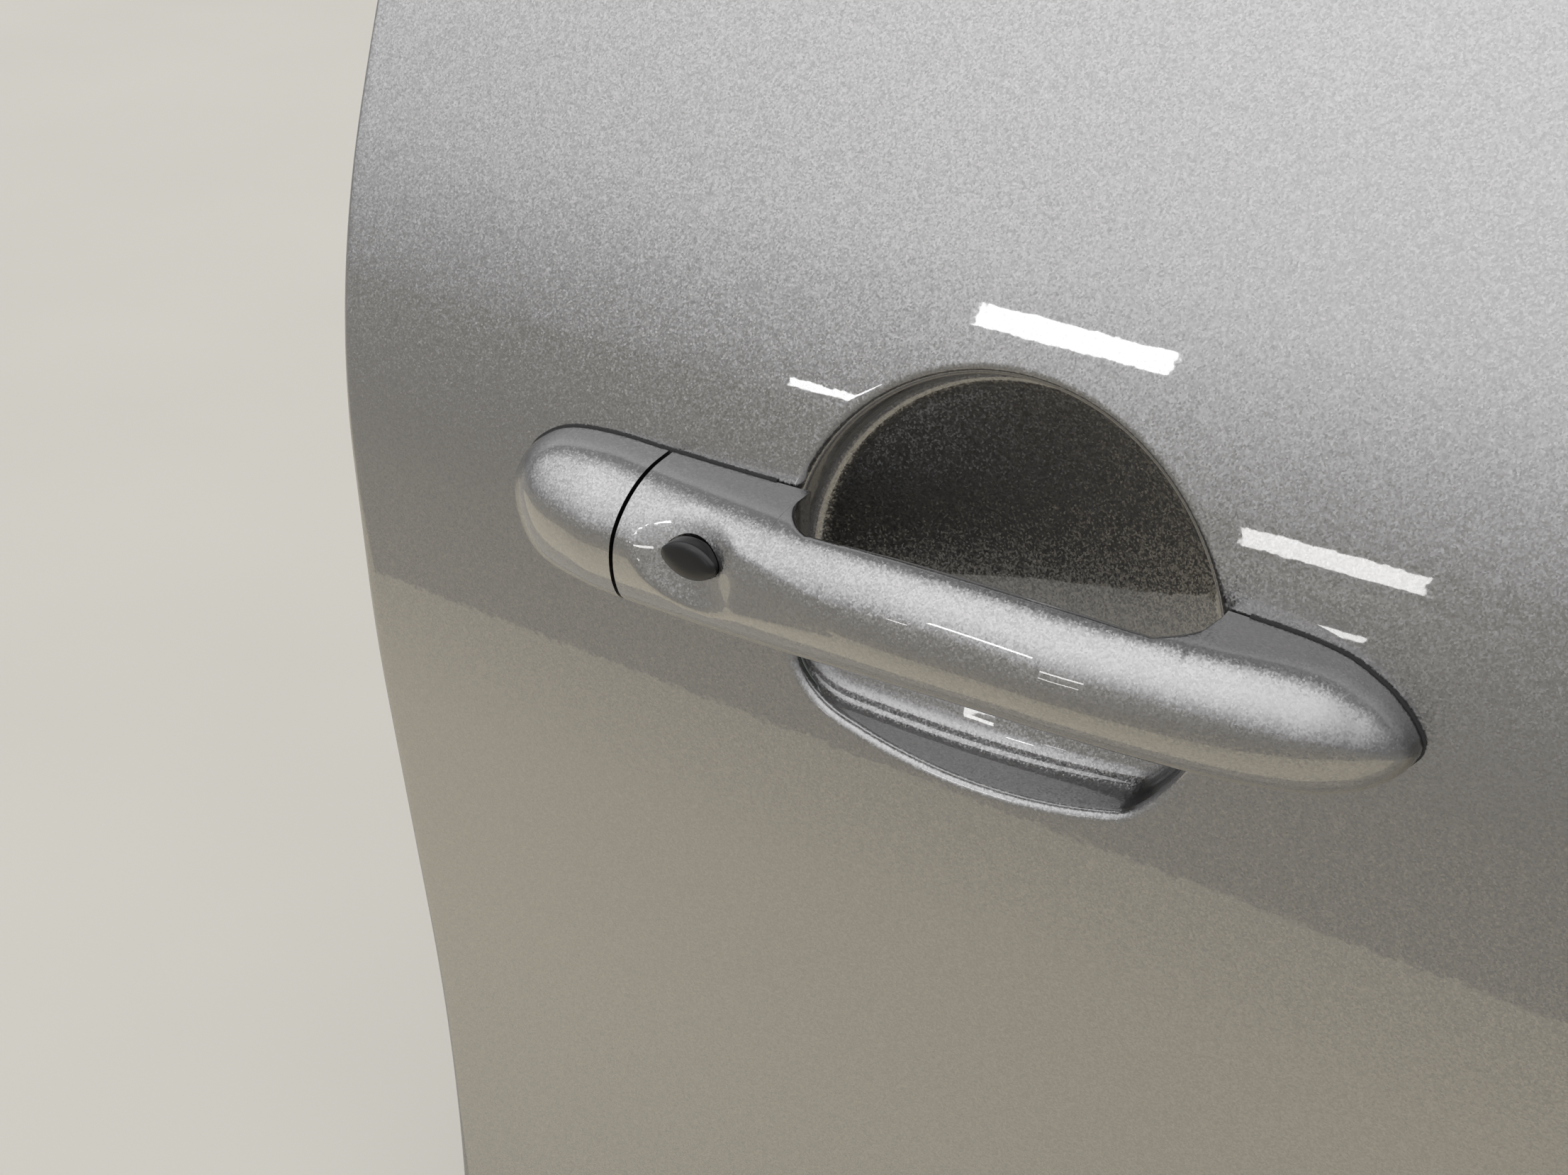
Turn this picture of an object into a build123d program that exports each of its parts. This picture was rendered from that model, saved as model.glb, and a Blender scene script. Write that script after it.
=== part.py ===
"""Outer panel of a compact crossover's right front door, with its finger cup and its pull handle.

The frame: +X runs forward along the car, +Y runs from the outside into the door, +Z is up.
The origin lies level with the finger cup's axis, midway between the two screw bosses on the
handle carrier's back. A depth is measured inwards from the panel's painted face.
"""

import os
from math import cos, degrees, radians, sin

from build123d import *

os.makedirs("parts", exist_ok=True)

# Door panel, in millimetres
SKIN_FACE = -44.0  # y of the painted face beside the handle
SKIN_T = 0.9
FLANGE_DEEP = 13.0  # depth of the turned edge
PANEL_REAR = -201.0
PANEL_FRONT = 835.0
PANEL_BOTTOM = -460.0
BELT_REAR = 160.0  # height of the belt line at the rear edge
BELT_FRONT = 132.0
BELT_SHORT = 58.0  # how far the belt's front end stays behind the foremost point
SILL_SHORT = 26.0
BULGE_Z = -130.0  # height of the foremost point
REAR_CORNER_R = 45.0
FRONT_CORNER_R = 75.0
TOP_CORNER_R = 12.0
HEM_R = 2.0  # outer radius of the fold round the edge
BEND_X = 125.0  # forward of this the panel curves in towards the front wing
PLAN_R = 7000.0

# The panel's upright section: it stands vertical at SECTION_Z and each row is a stretch from there.
# Columns: radius (0 is a straight run), length of a straight run or turn in degrees, inward positive
SECTION_Z = -16.0
SECTION_UP = [(262.0, 20.5), (800.0, 8.0)]
SECTION_DOWN = [(0.0, 36.0), (600.0, 4.0), (0.0, 88.0), (1070.0, -8.0), (0.0, 84.0), (70.0, 50.0)]

# Finger cup
CUP_X = -2.0
CUP_R = 53.4
CUP_DEEP = 24.0
CUP_LOW = 46.8  # how far its lower edge lies under its axis
CUP_LOW_R = 115.0
CUP_LOW_X = -6.5
CUP_CORNER_R = 20.0
CUP_BOWL_R = 120.0  # its floor is a hollow of this radius
CUP_BOWL_Z = 10.0  # height of its deepest point
CUP_FLOOR_R = 7.0  # between wall and floor
CUP_DRAFT = 6.0
CUP_RIM_R = 2.6

# Handle
SPLIT_X = -92.0  # joint between the end cap and the grip
SPLIT_GAP = 1.3
SPLIT_LEAN = 7.0  # degrees that the joint leans forward at its top
GASKET_T = 0.7
GASKET_SHOW = 0.2  # how far a gasket stands out round the handle
GASKET_BACK = 1.0  # how far it stays back from the cup's edge
SEAT_GAP = 0.3  # between pieces that seat on each other
ARM_REAR = -50.0  # the finger gap under the grip
ARM_FRONT = 51.0
ARM_BACK = 10.5  # how far the grip's back stands off the panel
ARM_CORNER_R = 9.0
ROOT_DEEP = 8.0

# Handle sections, from the end cap's rounded end to the grip's nose.
# Columns: x, top z, bottom z, height proud of the panel
HANDLE_SECTIONS = [
    (-136.0, 1.6, -9.0, 4.2),
    (-131.0, 8.8, -15.6, 10.4),
    (-122.0, 14.0, -20.0, 16.0),
    (-108.0, 15.9, -21.4, 19.2),
    (SPLIT_X, 15.9, -21.4, 20.6),
    (-56.5, 15.9, -18.7, 24.0),
    (-15.5, 16.0, -14.7, 27.0),
    (22.0, 16.7, -12.7, 27.2),
    (55.5, 17.6, -12.0, 23.0),
    (74.0, 16.4, -10.6, 16.4),
    (84.5, 12.6, -7.6, 10.2),
    (91.0, 8.2, -3.6, 6.0),
    (94.6, 4.2, 1.0, 3.0),
]
# One section's outline. Columns: share of the height from the bottom, share of the proudness
TOP_WALL, TOP_ROUND = (0.985, 0.40), (0.875, 0.755)
CROWN, FACE, CHIN = (0.60, 1.0), (0.36, 0.955), (0.13, 0.80)
CHIN_ROUND, UNDER = (0.03, 0.60), (0.0, 0.40)

# Button and the dish it sits in
BUTTON_X, BUTTON_Z = -68.9, 2.6
BUTTON_L, BUTTON_H = 17.0, 9.6
BUTTON_TIP_R = 2.4
BUTTON_T = 4.0
BUTTON_OUT = 22.2  # how far its face stands proud of the panel
BUTTON_EDGE = 0.6
BUTTON_FIT = 0.25
BUTTON_TRAVEL = 1.2
DISH_R = 15.0
DISH_DEEP = 1.8
DISH_FLOOR = 1.4  # how far the button's face stands over the dish's floor
FLUTE_X, FLUTE_Z = -34.0, -1.0  # where the flute that leads out of the dish runs out
FLUTE_R = 12.0
FLUTE_OUT = 24.8

# Front pivot of the grip
PIVOT_X, PIVOT_Z = 94.5, 0.0
PIVOT_DEEP = 7.0
KNUCKLE_R = 3.2
KNUCKLE_H = 10.0
PIN_R = 1.6
RUN_FIT = 0.05  # radial play of a pin in its bore
EAR_GAP = 0.4
EAR_T = 3.5
FOOT_REAR, FOOT_FRONT = 70.0, 80.0
FOOT_CUT = 4.0
FOOT_PLAY, FOOT_SIDE = 3.0, 0.5  # room round the foot where it passes through the panel

# Rear leg of the grip and the bell crank that it pulls
LEG_X = -79.0
LEG_W = 10.0
LEG_LOW, LEG_TOP = -6.8, 5.2
LEG_DEEP = 42.0
LEG_PLAY = 6.0
LIP_T = 4.0
LIP_LOW = -12.0
LEVER_BACK = 20.8  # from the bell crank's pin in to the leg's end
LEVER_DEEP = LEG_DEEP - LEVER_BACK
LEVER_Z = -43.3
LEVER_ARM = 33.2
LEVER_LEAN = 24.0  # degrees that the arm leans inwards at rest
LEVER_T = 6.0
LEVER_PIN_R = 2.5
HUB_R = 6.0
TIP_R = 3.0
ROD_ARM = 17.0
ROD_EYE_R = 2.1
ROD_BOSS_R = 4.5

# Handle carrier behind the panel. A span lists rear, front, low and high
BOSS_X = 45.0
BOSS_R = 6.5
BOSS_HOLE_R = 2.6
BOSS_DEEP = 11.0
SPINE_Y = -12.0
SPINE_T = 4.0
SPINE_H = 40.0
RIB_OUT = 8.0
WALL = 3.0
REAR_TOWER = (-128.0, -56.0, -26.0, 24.0)
FRONT_TOWER = (66.0, 104.0, -16.0, 16.0)
DIVIDER_X = -104.0  # wall between the post's room and the leg's
HOLE_CORNER_R = 2.0
POST_X, POST_Z, POST_R = -114.5, -2.5, 5.0
POST_DEEP = 22.0
POST_BLOCK = 14.0
POST_INTO = 8.0
POST_PLAY = 0.5
LEVER_EAR_R = 7.0

# Pieces on the panel's inside
PLATE_T = 1.2
PLATE = (-150.0, 122.0, -72.0, 78.0)
PLATE_CORNER_R = 14.0
CUP_ROOM = 7.0  # the plate stays this far from the cup
BELT_HAT_Z = 119.0  # height of the hat rail's middle at the rear edge
BELT_HAT_W, BELT_HAT_DEEP, BELT_HAT_T = 30.0, 12.0, 1.0
BELT_FLANGE = 12.0
BELT_INSET = 22.0
PAD_T = 2.5
PAD_CORNER_R = 20.0
PADS = {
    "damping_pad_rear": (-120.0, 220.0, -330.0, -130.0),
    "damping_pad_front": (290.0, 690.0, -330.0, -60.0),
}

# How far cutting tools and trimmed surfaces reach past what they cut
REACH = 200.0
PAST = 10.0
SQUARE = 0.05  # a wall's normal leans towards Y by less than this


def inward(depth):
    """The y that lies a depth behind the panel's painted face beside the handle."""
    return SKIN_FACE + depth


def seen_at(proud):
    """The plane, looking at the panel from outside, that stands proud of its painted face."""
    return Plane.XZ.offset(proud - SKIN_FACE)


def drawn_in(span, wall):
    """A span made smaller by a wall on every side."""
    return (span[0] + wall, span[1] - wall, span[2] + wall, span[3] - wall)


def section_run(depth, rows, heading):
    """Draws one half of the panel's upright section at a depth and returns where it ends."""
    at, way = (inward(depth), SECTION_Z), (0.0, heading)
    for radius, amount in rows:
        if radius:
            bend = radius - depth if amount > 0 else radius + depth
            piece = JernArc(start=at, tangent=way, radius=bend, arc_size=-heading * amount)
        else:
            piece = Line(at, (at[0] + way[0] * amount, at[1] + way[1] * amount))
        end, turn = piece @ 1, piece % 1
        at, way = (end.X, end.Y), (turn.X, turn.Y)
    return at


def section_band(near, far, x):
    """The closed band between two depths of the panel's upright section."""
    with BuildSketch(Plane.YZ.offset(x)) as band:
        with BuildLine():
            Line(section_run(near, SECTION_UP, 1), section_run(far, SECTION_UP, 1))
            Line(section_run(near, SECTION_DOWN, -1), section_run(far, SECTION_DOWN, -1))
        make_face()
    return band.sketch


def panel_layer(near, far):
    """A layer between two depths, straight beside the handle and curving in ahead of it."""
    start = PANEL_REAR - PAST
    with BuildPart() as layer:
        extrude(section_band(near, far, start), amount=BEND_X - start)
        bend = Axis((BEND_X, inward(PLAN_R), 0), (0, 0, 1))
        turn = degrees((PANEL_FRONT + 2 * PAST - BEND_X) / PLAN_R)
        revolve(section_band(near, far, BEND_X), axis=bend, revolution_arc=turn)
    return layer.part


def panel_outline(inset=0.0):
    """The door panel's outline, looking at it from outside."""
    top_front = (PANEL_FRONT - BELT_SHORT, BELT_FRONT)
    low_front = (PANEL_FRONT - SILL_SHORT, PANEL_BOTTOM)
    with BuildSketch(Plane.XZ) as sketch:
        with BuildLine():
            Polyline(top_front, (PANEL_REAR, BELT_REAR), (PANEL_REAR, PANEL_BOTTOM), low_front)
            ThreePointArc(low_front, (PANEL_FRONT, BULGE_Z), top_front)
        make_face()
        fillet(sketch.vertices().sort_by_distance((PANEL_REAR, PANEL_BOTTOM))[0], REAR_CORNER_R)
        fillet(sketch.vertices().sort_by_distance(low_front)[0], FRONT_CORNER_R)
        fillet(sketch.vertices().sort_by_distance((PANEL_REAR, BELT_REAR))[0], TOP_CORNER_R)
        fillet(sketch.vertices().sort_by_distance(top_front)[0], TOP_CORNER_R)
        if inset:
            offset(amount=-inset, mode=Mode.REPLACE)
    return sketch.sketch


def cup_outline(grow=0.0):
    """The finger cup's edge: round above, wider and flatter below."""
    with BuildSketch(Plane.XZ) as sketch:
        with Locations((CUP_X, 0)):
            Circle(CUP_R)
        with Locations((CUP_X - CUP_R / 2, -CUP_LOW / 2)):
            Rectangle(CUP_R, CUP_LOW)
        with Locations((CUP_LOW_X, CUP_LOW_R - CUP_LOW)):
            Circle(CUP_LOW_R, mode=Mode.INTERSECT)
        fillet([v for v in sketch.vertices() if v.Y < -CUP_LOW / 3], CUP_CORNER_R)
        if grow:
            offset(amount=grow)
    return sketch.sketch


def cup_form(grow=0.0):
    """The cup's hollow as a solid, from outside the panel in to its floor."""
    mouth = cup_outline(grow).moved(Location((0, SKIN_FACE, 0)))
    with BuildPart() as form:
        extrude(mouth, amount=-CUP_DEEP - grow, taper=CUP_DRAFT)
        with Locations((0, inward(CUP_DEEP) - CUP_BOWL_R, CUP_BOWL_Z)):
            Sphere(CUP_BOWL_R + grow, mode=Mode.INTERSECT)
        fillet(form.faces().filter_by(GeomType.SPHERE)[0].edges(), CUP_FLOOR_R + grow)
        extrude(mouth, amount=PAST)
    return form.part


def rounded(span, corner_r):
    """A rounded rectangle seen from outside, from its rear, front, low and high limits."""
    rear, front, low, high = span
    with BuildSketch(Plane.XZ) as sketch:
        with Locations(((rear + front) / 2, (low + high) / 2)):
            RectangleRounded(front - rear, high - low, corner_r)
    return sketch.sketch


def through(outline):
    """A block of an outline seen from outside, that passes through everything."""
    with BuildPart() as block:
        extrude(outline, amount=REACH, both=True)
    return block.part


def belt_strip(width, past=0.0):
    """A strip along the belt line, seen from outside; past lengthens it at both ends."""
    fall = (BELT_REAR - BELT_FRONT) / (PANEL_FRONT - BELT_SHORT - PANEL_REAR)
    rear, front = PANEL_REAR + BELT_INSET - past, PANEL_FRONT - BELT_SHORT - BELT_INSET + past
    rear_z, front_z = [BELT_HAT_Z - fall * (x - PANEL_REAR) for x in (rear, front)]
    with BuildSketch(Plane.XZ) as sketch:
        with BuildLine():
            Line((rear, rear_z + width / 2), (rear, rear_z - width / 2))
            Line((rear, rear_z - width / 2), (front, front_z - width / 2))
            Line((front, front_z - width / 2), (front, front_z + width / 2))
            Line((front, front_z + width / 2), (rear, rear_z + width / 2))
        make_face()
    return sketch.sketch


def handle_section(x, top, bottom, proud):
    """One closed section of the handle."""
    def at(share):
        return (SKIN_FACE - proud * share[1], bottom + (top - bottom) * share[0])

    with BuildSketch(Plane.YZ.offset(x)) as sketch:
        with BuildLine():
            ThreePointArc(at(TOP_WALL), at(TOP_ROUND), at(CROWN))
            ThreePointArc(at(CROWN), at(FACE), at(CHIN))
            ThreePointArc(at(CHIN), at(CHIN_ROUND), at(UNDER))
            Polyline(at(UNDER), (inward(ROOT_DEEP), bottom), (inward(ROOT_DEEP), top), at(TOP_WALL))
        make_face()
    return sketch.sketch


def footprint(grow):
    """What the handle covers on the panel, seen from outside."""
    tops = [(x, top) for x, top, bottom, proud in HANDLE_SECTIONS]
    lows = [(x, bottom) for x, top, bottom, proud in HANDLE_SECTIONS]
    with BuildSketch(Plane.XZ) as sketch:
        with BuildLine():
            Polyline(*tops, *reversed(lows), close=True)
        make_face()
        offset(amount=grow)
    return sketch.sketch


def beyond_split(side):
    """Everything past the joint of cap and grip: behind it for side -1, ahead of it for side 1."""
    align = (Align.MIN if side > 0 else Align.MAX, Align.CENTER)
    with BuildSketch(Plane.XZ) as half:
        with Locations((SPLIT_X - side * SPLIT_GAP / 2, 0)):
            Rectangle(2 * REACH, REACH, rotation=-SPLIT_LEAN, align=align)
    return through(half.sketch)


def button_outline(grow=0.0):
    """The button's lens outline of two arcs with rounded tips, seen from outside."""
    with BuildSketch(seen_at(BUTTON_OUT)) as sketch:
        with BuildLine():
            rear, front = (BUTTON_X - BUTTON_L / 2, BUTTON_Z), (BUTTON_X + BUTTON_L / 2, BUTTON_Z)
            ThreePointArc(rear, (BUTTON_X, BUTTON_Z + BUTTON_H / 2), front)
            ThreePointArc(front, (BUTTON_X, BUTTON_Z - BUTTON_H / 2), rear)
        make_face()
        fillet(sketch.vertices(), BUTTON_TIP_R)
        if grow:
            offset(amount=grow)
    return sketch.sketch


def beam(start, start_r, end, end_r):
    """A tapered arm between two round ends, in the upright YZ plane of the bell crank."""
    with BuildSketch(Plane.YZ.offset(LEG_X - LEVER_T / 2)) as sketch:
        with Locations(start):
            Circle(start_r)
        with Locations(end):
            Circle(end_r)
        make_hull()
    return sketch.sketch


def panel_block(near):
    """The panel as a thick block whose outer face lies at a depth, with the finger cup sunk in."""
    face_layer = panel_layer(near - SKIN_T / 2, near + SKIN_T / 2).solid()
    with BuildPart() as block:
        add(panel_layer(near, near + CUP_DEEP + PAST))
        extrude(panel_outline(near), amount=REACH, both=True, mode=Mode.INTERSECT)
        walls = [face for face in block.faces() if abs(face.normal_at().Y) < SQUARE]
        fold = [edge for wall in walls for edge in wall.edges() if face_layer.is_inside(edge @ 0.5)]
        fillet(fold, HEM_R - near)
        add(cup_form(near), mode=Mode.SUBTRACT)
        curved = [e for e in block.edges() if e.geom_type != GeomType.LINE and face_layer.is_inside(e @ 0.5)]
        rim = [e for e in curved if max(abs((e @ 0.5).X), abs((e @ 0.5).Z)) < CUP_R + CUP_CORNER_R]
        fillet(rim, CUP_RIM_R - near)
    return block.part


def block_between(x_span, y_span, z_span):
    """A block between two values of x, y and z."""
    with BuildPart() as block:
        with Locations((sum(x_span) / 2, sum(y_span) / 2, sum(z_span) / 2)):
            Box(x_span[1] - x_span[0], y_span[1] - y_span[0], z_span[1] - z_span[0])
    return block.part


def save(part, name):
    part.label = name
    export_step(part, f"parts/{name}.step")


# What several pieces share
inner_face = SKIN_T + SEAT_GAP  # depth where pieces seat on the panel's inside
outer_face = GASKET_T + SEAT_GAP  # height where the handle seats on its gaskets
rear_room = drawn_in(REAR_TOWER, WALL)
pivot_room = drawn_in(FRONT_TOWER, WALL)
leg_side = LEG_W / 2 + LEG_PLAY
leg_hole = (LEG_X - leg_side, LEG_X + leg_side, LEG_LOW - LEG_PLAY, LEG_TOP + LEG_PLAY)
foot_z = KNUCKLE_H / 2 + FOOT_SIDE
foot_hole = (FOOT_REAR - FOOT_PLAY, FOOT_FRONT + FOOT_PLAY, PIVOT_Z - foot_z, PIVOT_Z + foot_z)
post = Plane.XZ * Pos(POST_X, POST_Z)
pivot_y = inward(PIVOT_DEEP)
hub = (inward(LEVER_DEEP), LEVER_Z)

with BuildPart() as handle_form:
    for row in HANDLE_SECTIONS:
        add(handle_section(*row))
    loft(ruled=True)


# Outer skin
with BuildPart() as flange_trim:
    add(panel_layer(FLANGE_DEEP, CUP_DEEP + 3 * PAST))
    extrude(panel_outline(-PAST), amount=REACH, both=True, mode=Mode.INTERSECT)
    extrude(panel_outline(PAST), amount=REACH, both=True, mode=Mode.SUBTRACT)

with BuildPart() as outer_skin:
    add(panel_block(0))
    add(panel_block(SKIN_T), mode=Mode.SUBTRACT)
    add(flange_trim.part, mode=Mode.SUBTRACT)
    for room in (leg_hole, foot_hole):
        add(through(rounded(room, HOLE_CORNER_R)), mode=Mode.SUBTRACT)
    with Locations(post):
        Hole(POST_R + POST_PLAY)
save(outer_skin.part, "outer_skin")


# Plate that stiffens the panel round the handle
with BuildPart() as handle_plate:
    add(panel_layer(inner_face, inner_face + PLATE_T))
    extrude(rounded(PLATE, PLATE_CORNER_R), amount=REACH, both=True, mode=Mode.INTERSECT)
    extrude(cup_outline(CUP_ROOM), amount=REACH, both=True, mode=Mode.SUBTRACT)
    for room in (leg_hole, pivot_room):
        add(through(rounded(room, HOLE_CORNER_R)), mode=Mode.SUBTRACT)
    with Locations(post):
        Hole(POST_R + POST_PLAY)
save(handle_plate.part, "handle_plate")


# Hat rail that stiffens the belt line
with BuildPart() as hat_web:
    add(panel_layer(inner_face, inner_face + BELT_HAT_DEEP))
    extrude(belt_strip(BELT_HAT_W), amount=REACH, both=True, mode=Mode.INTERSECT)

with BuildPart() as hat_hollow:
    add(panel_layer(0, inner_face + BELT_HAT_DEEP - BELT_HAT_T))
    extrude(belt_strip(BELT_HAT_W - 2 * BELT_HAT_T, PAST), amount=REACH, both=True, mode=Mode.INTERSECT)

with BuildPart() as belt_rail:
    add(panel_layer(inner_face, inner_face + BELT_HAT_T))
    extrude(belt_strip(BELT_HAT_W + 2 * BELT_FLANGE), amount=REACH, both=True, mode=Mode.INTERSECT)
    add(hat_web.part)
    add(hat_hollow.part, mode=Mode.SUBTRACT)
save(belt_rail.part, "belt_rail")


# Damping pads glued to the panel's inside
for pad_name, span in PADS.items():
    with BuildPart() as pad:
        add(panel_layer(inner_face, inner_face + PAD_T))
        extrude(rounded(span, PAD_CORNER_R), amount=REACH, both=True, mode=Mode.INTERSECT)
    save(pad.part, pad_name)


# Gaskets between the panel and the handle, behind the finger cup and ahead of it
for gasket_name, middle in (("rear_gasket", CUP_X - REACH / 2), ("front_gasket", CUP_X + REACH / 2)):
    with BuildPart() as gasket:
        add(panel_layer(-GASKET_T, 0))
        extrude(footprint(GASKET_SHOW), amount=REACH, both=True, mode=Mode.INTERSECT)
        extrude(cup_outline(GASKET_BACK), amount=REACH, both=True, mode=Mode.SUBTRACT)
        with Locations((middle, SKIN_FACE, 0)):
            Box(REACH, REACH, REACH, mode=Mode.INTERSECT)
        for room in (leg_hole, foot_hole):
            add(through(rounded(room, HOLE_CORNER_R)), mode=Mode.SUBTRACT)
        with Locations(post):
            Hole(POST_R + POST_PLAY)
    save(gasket.part, gasket_name)


# End cap with the post that passes through the panel into the carrier
with BuildPart() as end_cap:
    add(handle_form.part)
    add(beyond_split(1), mode=Mode.SUBTRACT)
    add(panel_layer(-outer_face, REACH / 2), mode=Mode.SUBTRACT)
    with BuildSketch(seen_at(-POST_DEEP)):
        with Locations((POST_X, POST_Z)):
            Circle(POST_R)
    extrude(amount=POST_DEEP + POST_INTO)
save(end_cap.part, "end_cap")


# Dish round the button, with the flute that leads out of it along the grip
dish_ball = (DISH_R ** 2 + DISH_DEEP ** 2) / (2 * DISH_DEEP)
dish_out = BUTTON_OUT - DISH_FLOOR
flute_ends = ((BUTTON_X, BUTTON_Z, dish_ball, dish_out), (FLUTE_X, FLUTE_Z, FLUTE_R, FLUTE_OUT))
with BuildPart() as dish:
    for x, z, radius, proud in flute_ends:
        with BuildSketch(Plane.YZ.offset(x)):
            with Locations((inward(-proud) - radius, z)):
                Circle(radius)
    loft()
    with Locations((BUTTON_X, inward(-dish_out) - dish_ball, BUTTON_Z)):
        Sphere(dish_ball)


# Grip with the finger gap behind its arm, the dish and the button's pocket
with BuildPart() as grip:
    add(handle_form.part)
    add(beyond_split(-1), mode=Mode.SUBTRACT)
    with BuildSketch(Plane.XY.offset(-REACH / 2)):
        with Locations(((ARM_REAR + ARM_FRONT) / 2, inward(-ARM_BACK) + REACH / 2)):
            RectangleRounded(ARM_FRONT - ARM_REAR, REACH, ARM_CORNER_R)
    extrude(amount=REACH, mode=Mode.SUBTRACT)
    add(panel_layer(-outer_face, REACH / 2), mode=Mode.SUBTRACT)
    add(dish.part, mode=Mode.SUBTRACT)
    pocket = button_outline(BUTTON_FIT)
    extrude(pocket, amount=-BUTTON_T - BUTTON_TRAVEL - BUTTON_FIT, mode=Mode.SUBTRACT)
    extrude(pocket, amount=PAST, mode=Mode.SUBTRACT)
save(grip.part, "grip")


# Button, chamfered round its face
with BuildPart() as button:
    extrude(button_outline(), amount=-BUTTON_T)
    chamfer(button.faces().sort_by(Axis.Y)[0].edges(), BUTTON_EDGE)
save(button.part, "button")


# Foot of the grip, with the knuckle that turns on the pivot pin
with BuildPart() as grip_foot:
    with BuildSketch(Plane.XY.offset(PIVOT_Z - KNUCKLE_H / 2)):
        with BuildLine():
            Polyline(
                (PIVOT_X, pivot_y - KNUCKLE_R),
                (FOOT_FRONT, pivot_y - KNUCKLE_R),
                (FOOT_FRONT, inward(-PAST)),
                (FOOT_REAR, inward(-PAST)),
                (FOOT_REAR, pivot_y + KNUCKLE_R - FOOT_CUT),
                (FOOT_REAR + FOOT_CUT, pivot_y + KNUCKLE_R),
                (PIVOT_X, pivot_y + KNUCKLE_R),
            )
            CenterArc((PIVOT_X, pivot_y), KNUCKLE_R, -90, 180)
        make_face()
        with Locations((PIVOT_X, pivot_y)):
            Circle(PIN_R + RUN_FIT, mode=Mode.SUBTRACT)
    extrude(amount=KNUCKLE_H)
    add(panel_layer(-2 * PAST, -outer_face), mode=Mode.SUBTRACT)
save(grip_foot.part, "grip_foot")


# Leg of the grip, whose lip pulls the bell crank
with BuildPart() as grip_leg:
    with BuildSketch(Plane.YZ.offset(LEG_X - LEG_W / 2)):
        with BuildLine():
            Polyline(
                (inward(-PAST), LEG_TOP),
                (inward(LEG_DEEP), LEG_TOP),
                (inward(LEG_DEEP), LIP_LOW),
                (inward(LEG_DEEP - LIP_T), LIP_LOW),
                (inward(LEG_DEEP - LIP_T), LEG_LOW),
                (inward(-PAST), LEG_LOW),
                close=True,
            )
        make_face()
    extrude(amount=LEG_W)
    add(panel_layer(-2 * PAST, -outer_face), mode=Mode.SUBTRACT)
save(grip_leg.part, "grip_leg")


# Bell crank: its tip stands in front of the leg's lip, its rod arm carries the latch rod's eye
lean = radians(LEVER_LEAN)
tip = (hub[0] + LEVER_ARM * sin(lean), hub[1] + LEVER_ARM * cos(lean))
eye = (hub[0] + ROD_ARM * cos(lean), hub[1] - ROD_ARM * sin(lean))
with BuildPart() as lever:
    extrude(beam(hub, HUB_R, tip, TIP_R), amount=LEVER_T)
    extrude(beam(hub, HUB_R, eye, ROD_BOSS_R), amount=LEVER_T)
    for place, radius in ((hub, LEVER_PIN_R + RUN_FIT), (eye, ROD_EYE_R)):
        with Locations(Plane.YZ.offset(LEG_X) * Pos(*place)):
            Hole(radius)
save(lever.part, "lever")


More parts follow.
